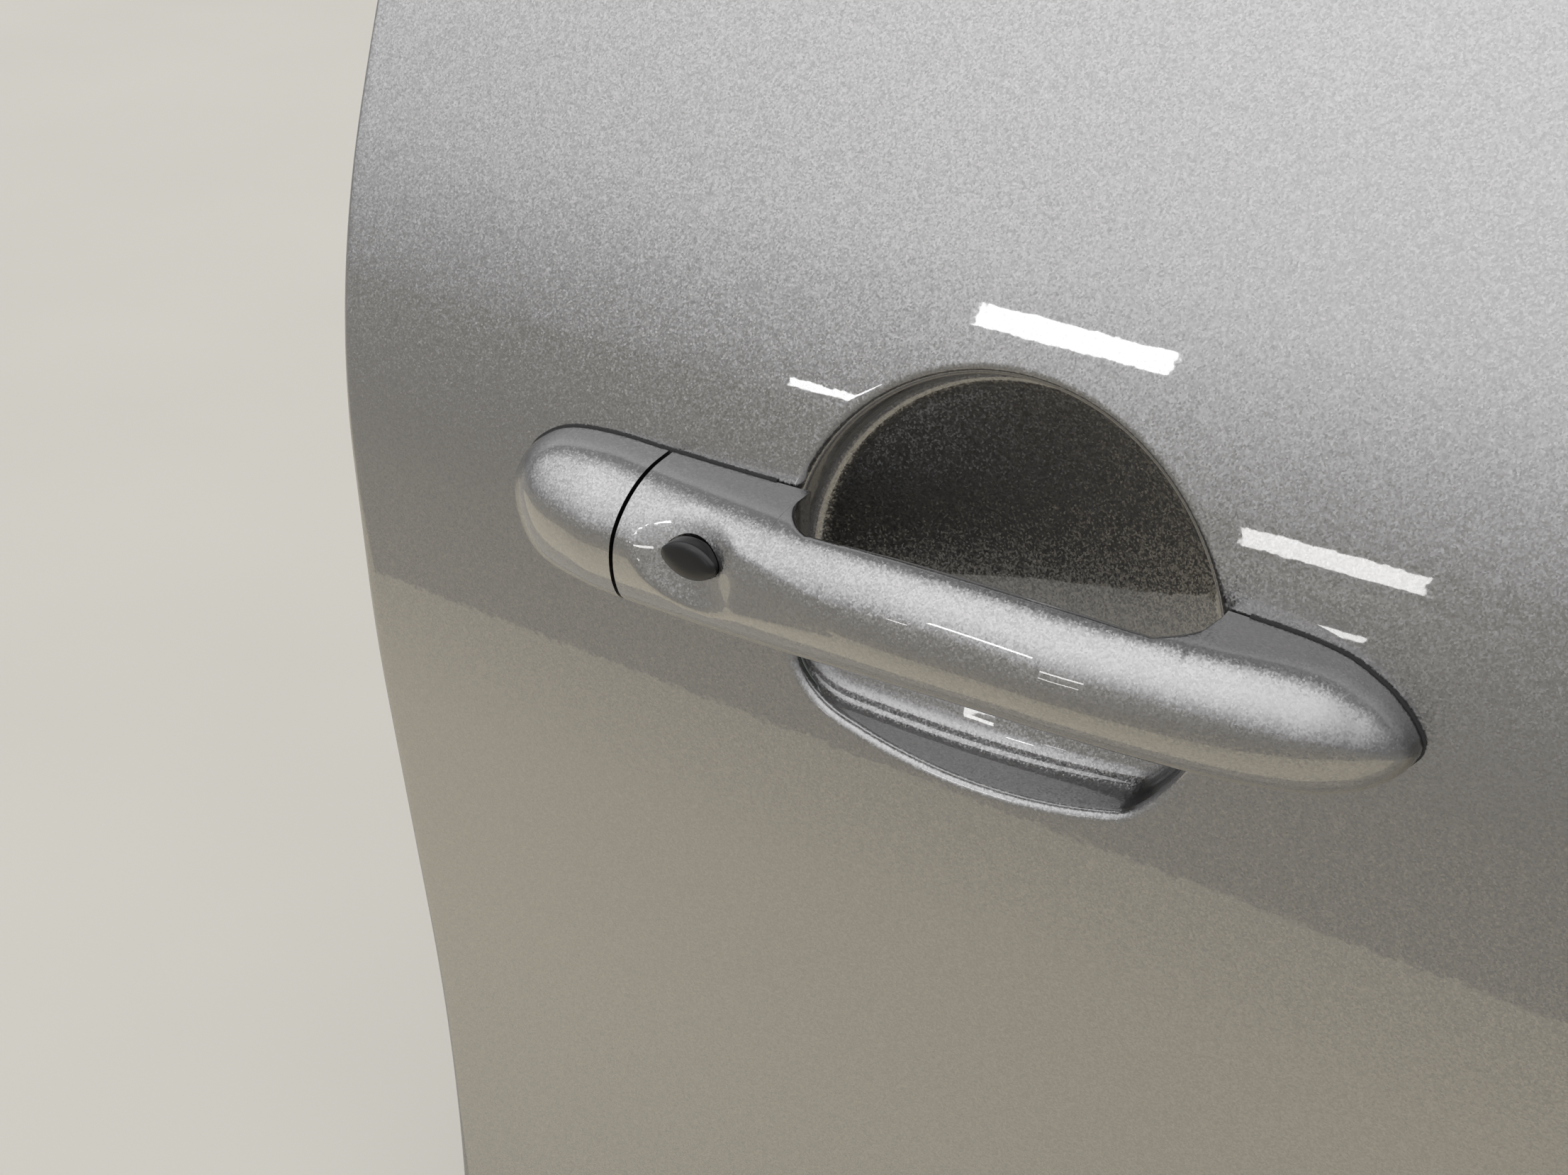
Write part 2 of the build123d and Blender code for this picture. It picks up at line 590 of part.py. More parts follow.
# Handle carrier: a spine behind the cup, a tower at each end out to the plate, and the pins' ears
spine_front = SPINE_Y - SPINE_T
leg_room = (DIVIDER_X + WALL, *rear_room[1:])
lever_half = LEVER_T / 2 + EAR_GAP
lever_slot = (LEG_X - lever_half, LEG_X + lever_half)
slot_height = (REAR_TOWER[2] - WALL, leg_room[2] + WALL)
post_room = (rear_room[0], DIVIDER_X)
with BuildPart() as handle_carrier:
    add(block_between((REAR_TOWER[0], FRONT_TOWER[1]), (spine_front, SPINE_Y), (-SPINE_H / 2, SPINE_H / 2)))
    for side in (-1, 1):
        edge = sorted((side * SPINE_H / 2, side * (SPINE_H / 2 - WALL)))
        add(block_between((REAR_TOWER[1], FRONT_TOWER[0]), (SPINE_Y, SPINE_Y + RIB_OUT), edge))
        with BuildSketch(Plane.YZ.offset(LEG_X + side * lever_half)):
            with Locations(hub):
                Circle(LEVER_EAR_R)
            with Locations((hub[0], (LEVER_Z + leg_room[2]) / 2)):
                Rectangle(2 * LEVER_EAR_R, leg_room[2] - LEVER_Z)
        extrude(amount=side * EAR_T)
    for tower in (REAR_TOWER, FRONT_TOWER):
        add(block_between(tower[:2], (SKIN_FACE, SPINE_Y), tower[2:]))
    add(block_between(leg_room[:2], (-REACH, REACH), leg_room[2:]), mode=Mode.SUBTRACT)
    add(block_between(post_room, (inward(POST_BLOCK), REACH), rear_room[2:]), mode=Mode.SUBTRACT)
    add(block_between(pivot_room[:2], (-REACH, spine_front), pivot_room[2:]), mode=Mode.SUBTRACT)
    add(block_between(lever_slot, (-REACH, REACH), slot_height), mode=Mode.SUBTRACT)
    with Locations(post):
        Hole(POST_R + RUN_FIT)
    add(panel_layer(-REACH / 2, inner_face + PLATE_T + SEAT_GAP), mode=Mode.SUBTRACT)
    for side in (-1, 1):
        with BuildSketch(Plane.XY.offset(PIVOT_Z + side * (KNUCKLE_H / 2 + EAR_GAP))):
            with Locations((PIVOT_X, pivot_y)):
                Circle(KNUCKLE_R)
            with Locations((PIVOT_X, (pivot_y + spine_front) / 2)):
                Rectangle(2 * KNUCKLE_R, spine_front - pivot_y)
        extrude(amount=side * EAR_T)
    with Locations(Plane.XY * Pos(PIVOT_X, pivot_y)):
        Hole(PIN_R + RUN_FIT)
    with Locations(Plane.YZ.offset(LEG_X) * Pos(*hub)):
        Hole(LEVER_PIN_R + RUN_FIT)
    with BuildSketch(Plane.XZ.offset(-SPINE_Y)):
        with Locations((-BOSS_X, 0), (BOSS_X, 0)):
            Circle(BOSS_R)
    extrude(amount=SPINE_Y)
    with BuildSketch(Plane.XZ):
        with Locations((-BOSS_X, 0), (BOSS_X, 0)):
            Circle(BOSS_HOLE_R)
    extrude(amount=BOSS_DEEP, mode=Mode.SUBTRACT)
save(handle_carrier.part, "handle_carrier")


# Pins of the grip and of the bell crank
pivot_half = KNUCKLE_H / 2 + EAR_GAP + EAR_T
with BuildPart() as pivot_pin:
    with BuildSketch(Plane.XY.offset(PIVOT_Z - pivot_half)):
        with Locations((PIVOT_X, pivot_y)):
            Circle(PIN_R)
    extrude(amount=2 * pivot_half)
save(pivot_pin.part, "pivot_pin")

with BuildPart() as lever_pin:
    with BuildSketch(Plane.YZ.offset(LEG_X - lever_half - EAR_T)):
        with Locations(hub):
            Circle(LEVER_PIN_R)
    extrude(amount=2 * (lever_half + EAR_T))
save(lever_pin.part, "lever_pin")
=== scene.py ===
"""Looks of a compact crossover's front door panel with its pull handle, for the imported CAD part.

Lengths are millimetres in the part's own frame, turned to metres where a mesh is placed.
"""

import math

import bmesh
import bpy
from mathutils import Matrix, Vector, kdtree


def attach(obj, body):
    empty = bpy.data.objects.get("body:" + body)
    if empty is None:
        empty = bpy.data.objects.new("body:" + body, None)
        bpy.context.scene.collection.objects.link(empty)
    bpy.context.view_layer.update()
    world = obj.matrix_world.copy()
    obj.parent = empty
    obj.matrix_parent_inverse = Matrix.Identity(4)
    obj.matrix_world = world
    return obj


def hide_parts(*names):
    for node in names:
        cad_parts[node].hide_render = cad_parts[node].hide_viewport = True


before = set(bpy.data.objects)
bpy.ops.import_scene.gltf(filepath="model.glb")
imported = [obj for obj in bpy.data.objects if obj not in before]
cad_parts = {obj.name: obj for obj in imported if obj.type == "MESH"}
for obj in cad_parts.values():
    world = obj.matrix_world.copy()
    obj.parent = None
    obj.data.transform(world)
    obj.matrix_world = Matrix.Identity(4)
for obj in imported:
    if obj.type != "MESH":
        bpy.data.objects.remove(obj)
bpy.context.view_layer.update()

MM = 0.001
MERGE = 1e-6  # metres within which points are one
NEAR = 1e-5  # metres within which a point is taken to be the one looked for

# Panel, as in the part
SKIN_FACE = -44.0  # y of the painted face beside the handle
SKIN_T = 0.9
FLANGE_DEEP = 13.0  # depth of the turned edge
FLANGE_HALF = 6.0
PANEL_REAR, PANEL_FRONT = -201.0, 835.0
PANEL_BOTTOM = -460.0
BELT_REAR, BELT_FRONT = 160.0, 132.0  # height of the belt line at its two ends
BELT_SHORT = 58.0  # how far the belt's front end stays behind the foremost point
SILL_SHORT = 26.0
BULGE_Z = -130.0  # height of the foremost point
REAR_CORNER_R = 45.0
FRONT_CORNER_R = 75.0
TOP_CORNER_R = 12.0
HEM_R = 2.0  # outer radius of the fold round the edge
BEND_X = 125.0  # forward of this the panel curves in towards the front wing
PLAN_R = 7000.0
SECTION_Z = -16.0  # height at which the section starts, going up and going down
# Columns: radius (0 is a straight run), length of a straight run or turn in degrees,
# inward positive
SECTION_UP = [(262.0, 20.5), (800.0, 8.0)]
SECTION_DOWN = [(0.0, 36.0), (600.0, 4.0), (0.0, 88.0), (1070.0, -8.0), (0.0, 84.0), (70.0, 50.0)]

# Finger cup: as in the part, but for its lower front corner and the place of its deepest point
CUP_X = -2.0
CUP_R = 53.4
CUP_DEEP = 24.0
CUP_LOW = 46.8  # how far its lower edge lies under its axis
CUP_LOW_R = 115.0
CUP_LOW_X = -6.5
CUP_REAR_R, CUP_FRONT_R = 20.0, 11.0  # its two lower corners
CUP_BOWL_R = 120.0  # its floor is a hollow of this radius
CUP_BOWL_Z = 22.0  # height of its deepest point
CUP_BOWL_LOW = 0.7  # height below that point counts for this share, so the bowl is flatter there
CUP_FLOOR_R = 7.0  # between wall and floor
CUP_DRAFT = math.radians(6.0)
CUP_RIM_R = 2.6

# Handle: split and finger gap as in the part, sections fuller and closer to the real one
SPLIT_X = -92.0
SPLIT_GAP = 1.3
SPLIT_LEAN = math.radians(7.0)
LEAN_FADE = 30.0  # the grip's sections stand upright this far from the split
SEAT = 0.7  # height of the handle's seat over the panel
GASKET_T = 0.6
GASKET_SHOW = 0.35  # how far the gasket reaches out from under the handle
GASKET_REAR_END, GASKET_FRONT_END = -59.0, 55.5  # where each gasket ends beside the cup
ARM_REAR, ARM_FRONT = -50.0, 51.0
ARM_BACK = 10.5
ARM_CORNER_R = 9.0
# Columns: x, top z, bottom z, height proud of the panel, share of the blade's section
HANDLE_SECTIONS = [
    (-137.0, -2.6, -4.6, 0.6, 0.0),
    (-136.0, 1.6, -9.0, 4.2, 0.0),
    (-131.0, 8.8, -15.6, 10.4, 0.0),
    (-122.0, 14.0, -20.0, 16.0, 0.0),
    (-108.0, 15.9, -21.4, 19.2, 0.0),
    (-92.0, 15.9, -21.4, 20.6, 0.0),
    (-56.5, 16.2, -18.7, 24.0, 0.35),
    (-15.5, 17.6, -14.7, 27.0, 1.0),
    (22.0, 18.2, -12.7, 27.2, 1.0),
    (55.5, 18.0, -12.0, 23.4, 0.8),
    (74.0, 16.6, -11.2, 18.2, 0.2),
    (84.0, 12.7, -8.8, 13.2, 0.0),
    (90.0, 8.2, -5.0, 8.8, 0.0),
    (93.2, 4.2, -1.0, 4.6, 0.0),
    (94.0, 2.4, 0.8, 1.8, 0.0),
]
# One section's outline at the cap, which is a rounded box, and at the arm, which is a leaning
# blade. Columns: share of the height from the bottom, share of the proudness
CAP_SECTION = [
    (0.985, 0.20), (0.845, 0.72), (0.60, 0.99), (0.38, 0.97), (0.13, 0.80), (0.03, 0.60),
    (0.0, 0.40),
]
BLADE_SECTION = [
    (1.0, 0.60), (0.86, 0.87), (0.62, 0.985), (0.37, 0.975), (0.13, 0.82), (0.03, 0.62),
    (0.0, 0.40),
]
BLADE_BEVEL = 7.0  # how far below its top edge the arm's back starts to lean forward
BEVEL_RISE = 0.7  # how steeply it leans
BACK_LIFT = 0.2  # the back's top edge lies this far above the outer face's first point
SEATED = 0.5  # points this near the back keep their place when a section is eased
# Faces of the grip that look inwards more squarely than this, above the handle's middle and below
# it, are painted black nylon as painted shade, which darkens the cup's reflection of them
PAINTED_SHADE_ABOVE, PAINTED_SHADE_BELOW = 0.85, 0.2

# Button as in the part, dish and flute closer to the real ones
BUTTON_X, BUTTON_Z = -68.9, 2.6
BUTTON_L, BUTTON_H = 17.0, 9.6
BUTTON_TIP_R = 2.4
BUTTON_T = 4.0
BUTTON_OUT = 22.2  # how far its face stands proud of the panel
BUTTON_FIT = 0.25
BUTTON_ROOM = 1.4  # under it, for its travel
WELL_PAST = 6.0  # how far its well's cutter reaches out past its face
# Columns: share of the outline's size, depth below the button's face
BUTTON_PROFILE = [
    (1.0, BUTTON_T), (1.0, 1.3), (0.985, 1.0), (0.95, 0.75), (0.88, 0.5), (0.74, 0.25),
    (0.5, 0.08), (0.25, 0.01),
]
DISH_Z = 1.2
DISH_LONG, DISH_HIGH, DISH_DEEP = 17.0, 11.2, 3.7
DISH_ABOVE = 12.0  # it is pressed only into what stands higher than this
FLUTE_X, FLUTE_Z = -26.0, 2.5  # where the flute that leads out of the dish runs out
FLUTE_WIDE, FLUTE_NARROW = 9.5, 3.0
FLUTE_DEEP = 2.8

# Windows in the skin for the grip's leg and foot. Each lists rear, front, low and high
LEG_HOLE = (-90.0, -68.0, -12.8, 11.2)
FOOT_HOLE = (67.0, 83.0, -5.5, 5.5)
THROUGH = 10.0  # how far a window's cutter reaches each way from the panel

# Mesh steps on the panel
FINE = 2.2  # beside the cup and the handle
MEDIUM = 4.0  # where the panel starts to curve in
BELT_STEP = 5.0
COARSE = 13.0  # at the panel's far end
WINDOW = (-72.0, 66.0, -62.0, 70.0)  # part of the panel that is made of rings round the cup
WINDOW_RINGS = 22
BOWL_RINGS = 24
HEM_RINGS = 6
CUP_STEP = 0.5  # along the cup's edge
SIDE_STEPS = 40  # along its straight side
ROUND_STEPS = 10  # over the rim, and where the wall meets the floor
WALL_STEPS = 3

# Mesh steps on the handle
CAP_STEP, GRIP_STEP, ARM_STEP, NOSE_STEP = 1.2, 1.2, 1.6, 1.4
CAP_ROUND, CAP_ROUND_STEPS = 26.0, 30  # length of the cap's rounded end
TIP_ROUND, TIP_STEPS = 12.0, 24  # length of the grip's rounded front end
BEND_STEPS = 12
HAIR = 0.01  # keeps a seated section clear of the arm's first one
STATIONS, GASKET_STATIONS = 40, 12  # between two rows of the table of sections
CAP_AROUND, GRIP_AROUND = (64, 20), (72, 24)  # points over the outside and along the back
ARC_STEPS = 12  # on each of a section's three arcs
GASKET_STRIPS = 10
LENS_POINTS = 96

# Photograph's camera, solved from the panel's rear edge and the handle
PHOTO_W = 2212
CAMERA_AT = (159.72, -364.79, 212.90)
CAMERA_DOWN = math.radians(30.0)
CAMERA_LEFT = math.radians(34.0)
FOCAL_PX = 2654.4
SENSOR_MM = 36.0


# Helpers

def linear(code):
    """An sRGB hex colour as linear red, green, blue and alpha."""
    parts = [int(code[i:i + 2], 16) / 255 for i in (1, 3, 5)]
    return [c / 12.92 if c <= 0.04045 else ((c + 0.055) / 1.055) ** 2.4 for c in parts] + [1.0]


def add_node(tree, kind, links=(), **settings):
    """Adds a node, sets its inputs and properties, and links each (output, input name) given."""
    node = tree.nodes.new(kind)
    for name, value in settings.items():
        socket = node.inputs.get(name.replace("_", " ")) or node.inputs.get(name)
        if socket is not None and not hasattr(node, name):
            socket.default_value = value
        else:
            setattr(node, name, value)
    for output, name in links:
        tree.links.new(output, node.inputs[name])
    return node


def new_material(name):
    """An empty material with its output and a Principled shader."""
    material = bpy.data.materials.new(name)
    material.use_nodes = True
    tree = material.node_tree
    tree.nodes.clear()
    shader = tree.nodes.new("ShaderNodeBsdfPrincipled")
    output = tree.nodes.new("ShaderNodeOutputMaterial")
    tree.links.new(shader.outputs["BSDF"], output.inputs["Surface"])
    return material, tree, shader


def deselect():
    """Leaves nothing selected."""
    bpy.ops.object.select_all(action="DESELECT")


def pick(piece):
    """Selects one piece alone."""
    deselect()
    piece.select_set(True)
    bpy.context.view_layer.objects.active = piece


def metres(x, y, z):
    """A point given in millimetres, for a mesh."""
    return Vector((x * MM, y * MM, z * MM))


def part_way(a, b, share):
    """The flat point that lies a share of the way from one to another."""
    return tuple(a[c] + (b[c] - a[c]) * share for c in (0, 1))


def spread(start, end, step_start, step_end):
    """Positions from start to end whose steps grow evenly from one size to another."""
    count = max(1, round((end - start) / ((step_start + step_end) / 2)))
    sizes = [step_start + (step_end - step_start) * (i + 0.5) / count for i in range(count)]
    scale = (end - start) / sum(sizes)
    places = [start]
    for size in sizes:
        places.append(places[-1] + size * scale)
    return places


def widening(start, reach, count):
    """Positions over a reach whose steps widen from nothing, as those of a quarter turn do."""
    return [start + reach * (1 - math.cos(math.pi / 2 * i / count)) for i in range(count + 1)]


def arc_through(a, b, c, count):
    """Points on the arc that starts at a, passes b and ends at c, both ends included."""
    ax, ay, bx, by, cx, cy = *a, *b, *c
    a2, b2, c2 = ax ** 2 + ay ** 2, bx ** 2 + by ** 2, cx ** 2 + cy ** 2
    d = 2 * (ax * (by - cy) + bx * (cy - ay) + cx * (ay - by))
    ux = (a2 * (by - cy) + b2 * (cy - ay) + c2 * (ay - by)) / d
    uy = (a2 * (cx - bx) + b2 * (ax - cx) + c2 * (bx - ax)) / d
    radius = math.hypot(ax - ux, ay - uy)
    first, middle, last = [math.atan2(y - uy, x - ux) for x, y in (a, b, c)]
    turn = (last - first) % math.tau
    if (middle - first) % math.tau > turn:
        turn -= math.tau
    angles = [first + turn * i / count for i in range(count + 1)]
    return [(ux + radius * math.cos(t), uy + radius * math.sin(t)) for t in angles]


def corner_arc(corner, ray_a, ray_b, radius, count):
    """Points of a fillet in a corner, from ray_a's side to ray_b's; both rays are unit vectors."""
    half = math.acos(max(-1, min(1, ray_a[0] * ray_b[0] + ray_a[1] * ray_b[1]))) / 2
    reach = radius / math.tan(half)
    start = (corner[0] + ray_a[0] * reach, corner[1] + ray_a[1] * reach)
    end = (corner[0] + ray_b[0] * reach, corner[1] + ray_b[1] * reach)
    middle = ((ray_a[0] + ray_b[0]), (ray_a[1] + ray_b[1]))
    size = math.hypot(*middle)
    near = radius / math.sin(half) - radius
    bulge = (corner[0] + middle[0] / size * near, corner[1] + middle[1] / size * near)
    return arc_through(start, bulge, end, count)


# Panel's shape

def section_y(z):
    """The y of the panel's outer face on its upright section."""
    rows, rise = (SECTION_UP, z - SECTION_Z) if z >= SECTION_Z else (SECTION_DOWN, SECTION_Z - z)
    y, lean = SKIN_FACE, 0.0
    for radius, amount in rows:
        if radius:
            way = 1 if amount > 0 else -1
            end = lean + math.radians(amount)
            height = way * radius * (math.sin(end) - math.sin(lean))
            if rise <= height:
                at = math.asin(math.sin(lean) + way * rise / radius)
                return y + way * radius * (math.cos(lean) - math.cos(at))
            y += way * radius * (math.cos(lean) - math.cos(end))
            lean = end
        else:
            height = amount * math.cos(lean)
            if rise <= height:
                return y + rise * math.tan(lean)
            y += amount * math.sin(lean)
        rise -= height
    return y + rise * math.tan(lean)


def skin_y(x, z):
    """The y of the panel's outer face: straight beside the handle, curving in ahead of it."""
    y = section_y(z)
    if x <= BEND_X:
        return y
    radius = PLAN_R + SKIN_FACE - y
    return SKIN_FACE + PLAN_R - math.sqrt(radius ** 2 - (x - BEND_X) ** 2)


def front_x(z):
    """The x of the panel's bowed front edge."""
    low = (PANEL_FRONT - SILL_SHORT, PANEL_BOTTOM)
    top = (PANEL_FRONT - BELT_SHORT, BELT_FRONT)
    points = arc_through(low, (PANEL_FRONT, BULGE_Z), top, 64)
    for (xa, za), (xb, zb) in zip(points, points[1:]):
        if z <= zb:
            return xa + (xb - xa) * (z - za) / (zb - za)
    return points[-1][0]


def belt_z(x):
    """The height of the belt line."""
    fall = (BELT_REAR - BELT_FRONT) / (PANEL_FRONT - BELT_SHORT - PANEL_REAR)
    return BELT_REAR - fall * (x - PANEL_REAR)


def in_outline(x, z):
    """Moves a point of the plain grid so that the grid fills the panel's outline less its fold."""
    rear, low = PANEL_REAR + HEM_R, PANEL_BOTTOM + HEM_R
    top = belt_z(x) - HEM_R
    if z > WINDOW[3]:
        share = (z - WINDOW[3]) / (BELT_REAR - HEM_R - WINDOW[3])
        z = WINDOW[3] + share * (top - WINDOW[3])
    front = front_x(z) - HEM_R
    if x > BEND_X:
        share = (x - BEND_X) / (PANEL_FRONT - HEM_R - BEND_X)
        x = BEND_X + share * (front - BEND_X)
    corners = (
        (rear, low, 1, 1, REAR_CORNER_R - HEM_R),
        (front, low, -1, 1, FRONT_CORNER_R - HEM_R),
        (rear, top, 1, -1, TOP_CORNER_R - HEM_R),
        (front, top, -1, -1, TOP_CORNER_R - HEM_R),
    )
    for corner_x, corner_z, way_x, way_z, radius in corners:
        dx, dz = radius - way_x * (x - corner_x), radius - way_z * (z - corner_z)
        if dx > 0 and dz > 0:
            scale = max(dx, dz) / math.hypot(dx, dz)
            x = corner_x + way_x * (radius - dx * scale)
            z = corner_z + way_z * (radius - dz * scale)
    return x, z


def cup_outline():
    """The cup's edge as points with their outward normals, counterclockwise seen from outside."""
    left = CUP_X - CUP_R
    low_z = CUP_LOW_R - CUP_LOW
    # the rear corner's fillet touches the straight side and the low arc
    rear_x = left + CUP_REAR_R
    rear_z = low_z - math.sqrt((CUP_LOW_R - CUP_REAR_R) ** 2 - (rear_x - CUP_LOW_X) ** 2)
    # the front corner's fillet touches the round side and the low arc
    gap = math.hypot(CUP_LOW_X - CUP_X, low_z)
    big, small = CUP_LOW_R - CUP_FRONT_R, CUP_R - CUP_FRONT_R
    along = (small ** 2 - big ** 2 + gap ** 2) / (2 * gap)
    aside = math.sqrt(small ** 2 - along ** 2)
    ux, uz = (CUP_LOW_X - CUP_X) / gap, low_z / gap
    ahead_x, ahead_z = CUP_X + ux * along + uz * aside, uz * along - ux * aside
    points = []

    def sweep(cx, cz, radius, start, end):
        count = max(2, round(abs(end - start) * radius / CUP_STEP))
        for i in range(count):
            t = start + (end - start) * i / count
            nx, nz = math.cos(t), math.sin(t)
            points.append((cx + radius * nx, cz + radius * nz, nx, nz))

    touch = math.atan2(ahead_z, ahead_x - CUP_X)
    sweep(CUP_X, 0, CUP_R, touch, math.pi)
    for i in range(SIDE_STEPS):
        points.append((left, rear_z * i / SIDE_STEPS, -1.0, 0.0))
    low_rear = math.atan2(rear_z - low_z, rear_x - CUP_LOW_X)
    low_front = math.atan2(ahead_z - low_z, ahead_x - CUP_LOW_X)
    sweep(rear_x, rear_z, CUP_REAR_R, math.pi, low_rear + math.tau)
    sweep(CUP_LOW_X, low_z, CUP_LOW_R, low_rear, low_front)
    sweep(ahead_x, ahead_z, CUP_FRONT_R, low_front, touch)
    return points


def bowl_y(x, z):
    """The y of the hollow that makes the cup's floor."""
    rise = z - CUP_BOWL_Z
    if rise < 0:
        rise *= CUP_BOWL_LOW
    return SKIN_FACE + CUP_DEEP - CUP_BOWL_R + math.sqrt(CUP_BOWL_R ** 2 - x ** 2 - rise ** 2)


def cup_column(ox, oz, nx, nz):
    """The cup's profile at one point of its edge, panel to bowl, as (offset outwards, y)."""
    y0 = skin_y(ox, oz)
    slope = skin_y(ox + nx, oz + nz) - y0
    draft = math.tan(CUP_DRAFT)
    depth = y0 - SKIN_FACE
    corner_off = -draft * depth / (1 + draft * slope)
    corner = (corner_off, y0 + slope * corner_off)
    out = math.hypot(1, slope)
    wall = (-math.sin(CUP_DRAFT), math.cos(CUP_DRAFT))
    rim = corner_arc(corner, (1 / out, slope / out), wall, CUP_RIM_R, ROUND_STEPS)

    def bowl_at(off):
        return bowl_y(ox + nx * off, oz + nz * off)

    # the leaning wall meets the bowl where these few rounds settle
    off = 0.0
    for _ in range(8):
        off = -draft * (bowl_at(off) - SKIN_FACE)
    low = (off, bowl_at(off))
    fall = bowl_at(off - 1) - low[1]
    along = math.hypot(1, fall)
    into = (-1 / along, fall / along)
    floor = corner_arc(low, (-wall[0], -wall[1]), into, CUP_FLOOR_R, ROUND_STEPS)
    run = [part_way(rim[-1], floor[0], i / WALL_STEPS) for i in range(1, WALL_STEPS)]
    return rim + run + floor


def pull_rings(piece, rings):
    """Extrudes the open border that rings[0] lists, ring by ring; the last one stays selected."""
    pick(piece)
    bpy.ops.object.mode_set(mode="EDIT")
    bpy.ops.mesh.select_mode(type="EDGE")
    bpy.ops.mesh.select_all(action="DESELECT")
    mesh = bmesh.from_edit_mesh(piece.data)
    find = lookup(rings[0])
    for edge in mesh.edges:
        if edge.is_boundary and all(find.find(v.co)[2] < NEAR for v in edge.verts):
            edge.select = True
    mesh.select_flush_mode()
    bmesh.update_edit_mesh(piece.data)
    for before, after in zip(rings, rings[1:]):
        bpy.ops.mesh.extrude_edges_move()
        mesh = bmesh.from_edit_mesh(piece.data)
        find = lookup(before)
        for vert in mesh.verts:
            if vert.select:
                vert.co = after[find.find(vert.co)[1]]
        bmesh.update_edit_mesh(piece.data)


def lookup(points):
    """A tree that finds the nearest of some points."""
    tree = kdtree.KDTree(len(points))
    for i, point in enumerate(points):
        tree.insert(point, i)
    tree.balance()
    return tree


def add_grid(name, columns, rows, place):
    """A grid of that many faces each way, each vertex put where place(column, row) says."""
    deselect()
    bpy.ops.mesh.primitive_grid_add(x_subdivisions=columns, y_subdivisions=rows, size=2)
    piece = bpy.context.object
    piece.name = piece.data.name = name
    for vert in piece.data.vertices:
        column = round((vert.co.x + 1) / 2 * columns)
        row = round((vert.co.y + 1) / 2 * rows)
        vert.co = place(column, row)
    return piece


def build_skin():
    """The door's outer skin: a graded grid, rings down into the cup, and the folded edge."""
    rear, front, low, high = WINDOW
    window_columns = spread(rear, front, FINE, FINE)
    window_rows = spread(low, high, FINE, FINE)
    columns = spread(PANEL_REAR + HEM_R, rear, FINE, FINE)[:-1] + window_columns[:-1]
    columns += spread(front, BEND_X, FINE, MEDIUM)[:-1]
    columns += spread(BEND_X, PANEL_FRONT - HEM_R, MEDIUM, COARSE)
    rows = spread(PANEL_BOTTOM + HEM_R, low, COARSE, FINE)[:-1] + window_rows[:-1]
    rows += spread(high, BELT_REAR - HEM_R, FINE, BELT_STEP)

    def place(column, row):
        x, z = in_outline(columns[column], rows[row])
        return metres(x, skin_y(x, z), z)

    skin = add_grid("door_skin", len(columns) - 1, len(rows) - 1, place)
    mesh = bmesh.new()
    mesh.from_mesh(skin.data)
    inside = []
    for face in mesh.faces:
        middle = face.calc_center_median() / MM
        if rear < middle.x < front and low < middle.z < high:
            inside.append(face)
    bmesh.ops.delete(mesh, geom=inside, context="FACES")
    mesh.to_mesh(skin.data)
    mesh.free()

    border = [(x, low) for x in window_columns[:-1]] + [(front, z) for z in window_rows[:-1]]
    border += [(x, high) for x in window_columns[:0:-1]]
    border += [(rear, z) for z in window_rows[:0:-1]]
    pull_rings(skin, cup_rings(border))
    bpy.ops.mesh.edge_face_add()
    bpy.ops.object.mode_set(mode="OBJECT")
    pull_rings(skin, edge_rings(border_loop(columns, rows, place)))
    bpy.ops.mesh.select_all(action="SELECT")
    bpy.ops.mesh.normals_make_consistent(inside=False)
    bpy.ops.object.mode_set(mode="OBJECT")
    return skin


def cup_rings(border):
    """Rings from the window's border in to the cup, down its wall and over its bowl."""
    edge = cup_outline()
    bearings = [math.atan2(oz, ox - CUP_X) for ox, oz, nx, nz in edge]
    picks = []
    for x, z in border:
        bearing = math.atan2(z, x - CUP_X)
        turns = [abs((b - bearing + math.pi) % math.tau - math.pi) for b in bearings]
        picks.append(edge[turns.index(min(turns))])
    profiles = [cup_column(*point) for point in picks]
    rings = [[metres(x, skin_y(x, z), z) for x, z in border]]
    for step in range(1, WINDOW_RINGS):
        share = (step / WINDOW_RINGS) ** 0.7  # closer together near the cup
        ring = []
        for start, (ox, oz, nx, nz), profile in zip(border, picks, profiles):
            off = profile[0][0]
            x, z = part_way(start, (ox + nx * off, oz + nz * off), share)
            ring.append(metres(x, skin_y(x, z), z))
        rings.append(ring)
    for step in range(len(profiles[0])):
        ring = []
        for (ox, oz, nx, nz), profile in zip(picks, profiles):
            off, y = profile[step]
            ring.append(metres(ox + nx * off, y, oz + nz * off))
        rings.append(ring)
    last = [(point.x / MM, point.z / MM) for point in rings[-1]]
    for step in range(1, BOWL_RINGS):
        keep = 1 - step / BOWL_RINGS
        ring = [((x - CUP_X) * keep + CUP_X, z * keep) for x, z in last]
        rings.append([metres(x, bowl_y(x, z), z) for x, z in ring])
    return rings


def edge_rings(outline):
    """Rings from the grid's border round the fold and down the flange."""
    normals = [outline_normal(outline, i) for i in range(len(outline))]
    steps = []
    for i in range(1, HEM_RINGS + 1):
        turn = math.pi / 2 * i / HEM_RINGS
        steps.append((HEM_R * math.sin(turn), HEM_R * (1 - math.cos(turn))))
    steps += [(HEM_R, FLANGE_HALF), (HEM_R, FLANGE_DEEP)]
    rings = [outline]
    for out, deep in steps:
        inward = Vector((0, deep * MM, 0))
        rings.append([p + n * out * MM + inward for p, n in zip(outline, normals)])
    return rings


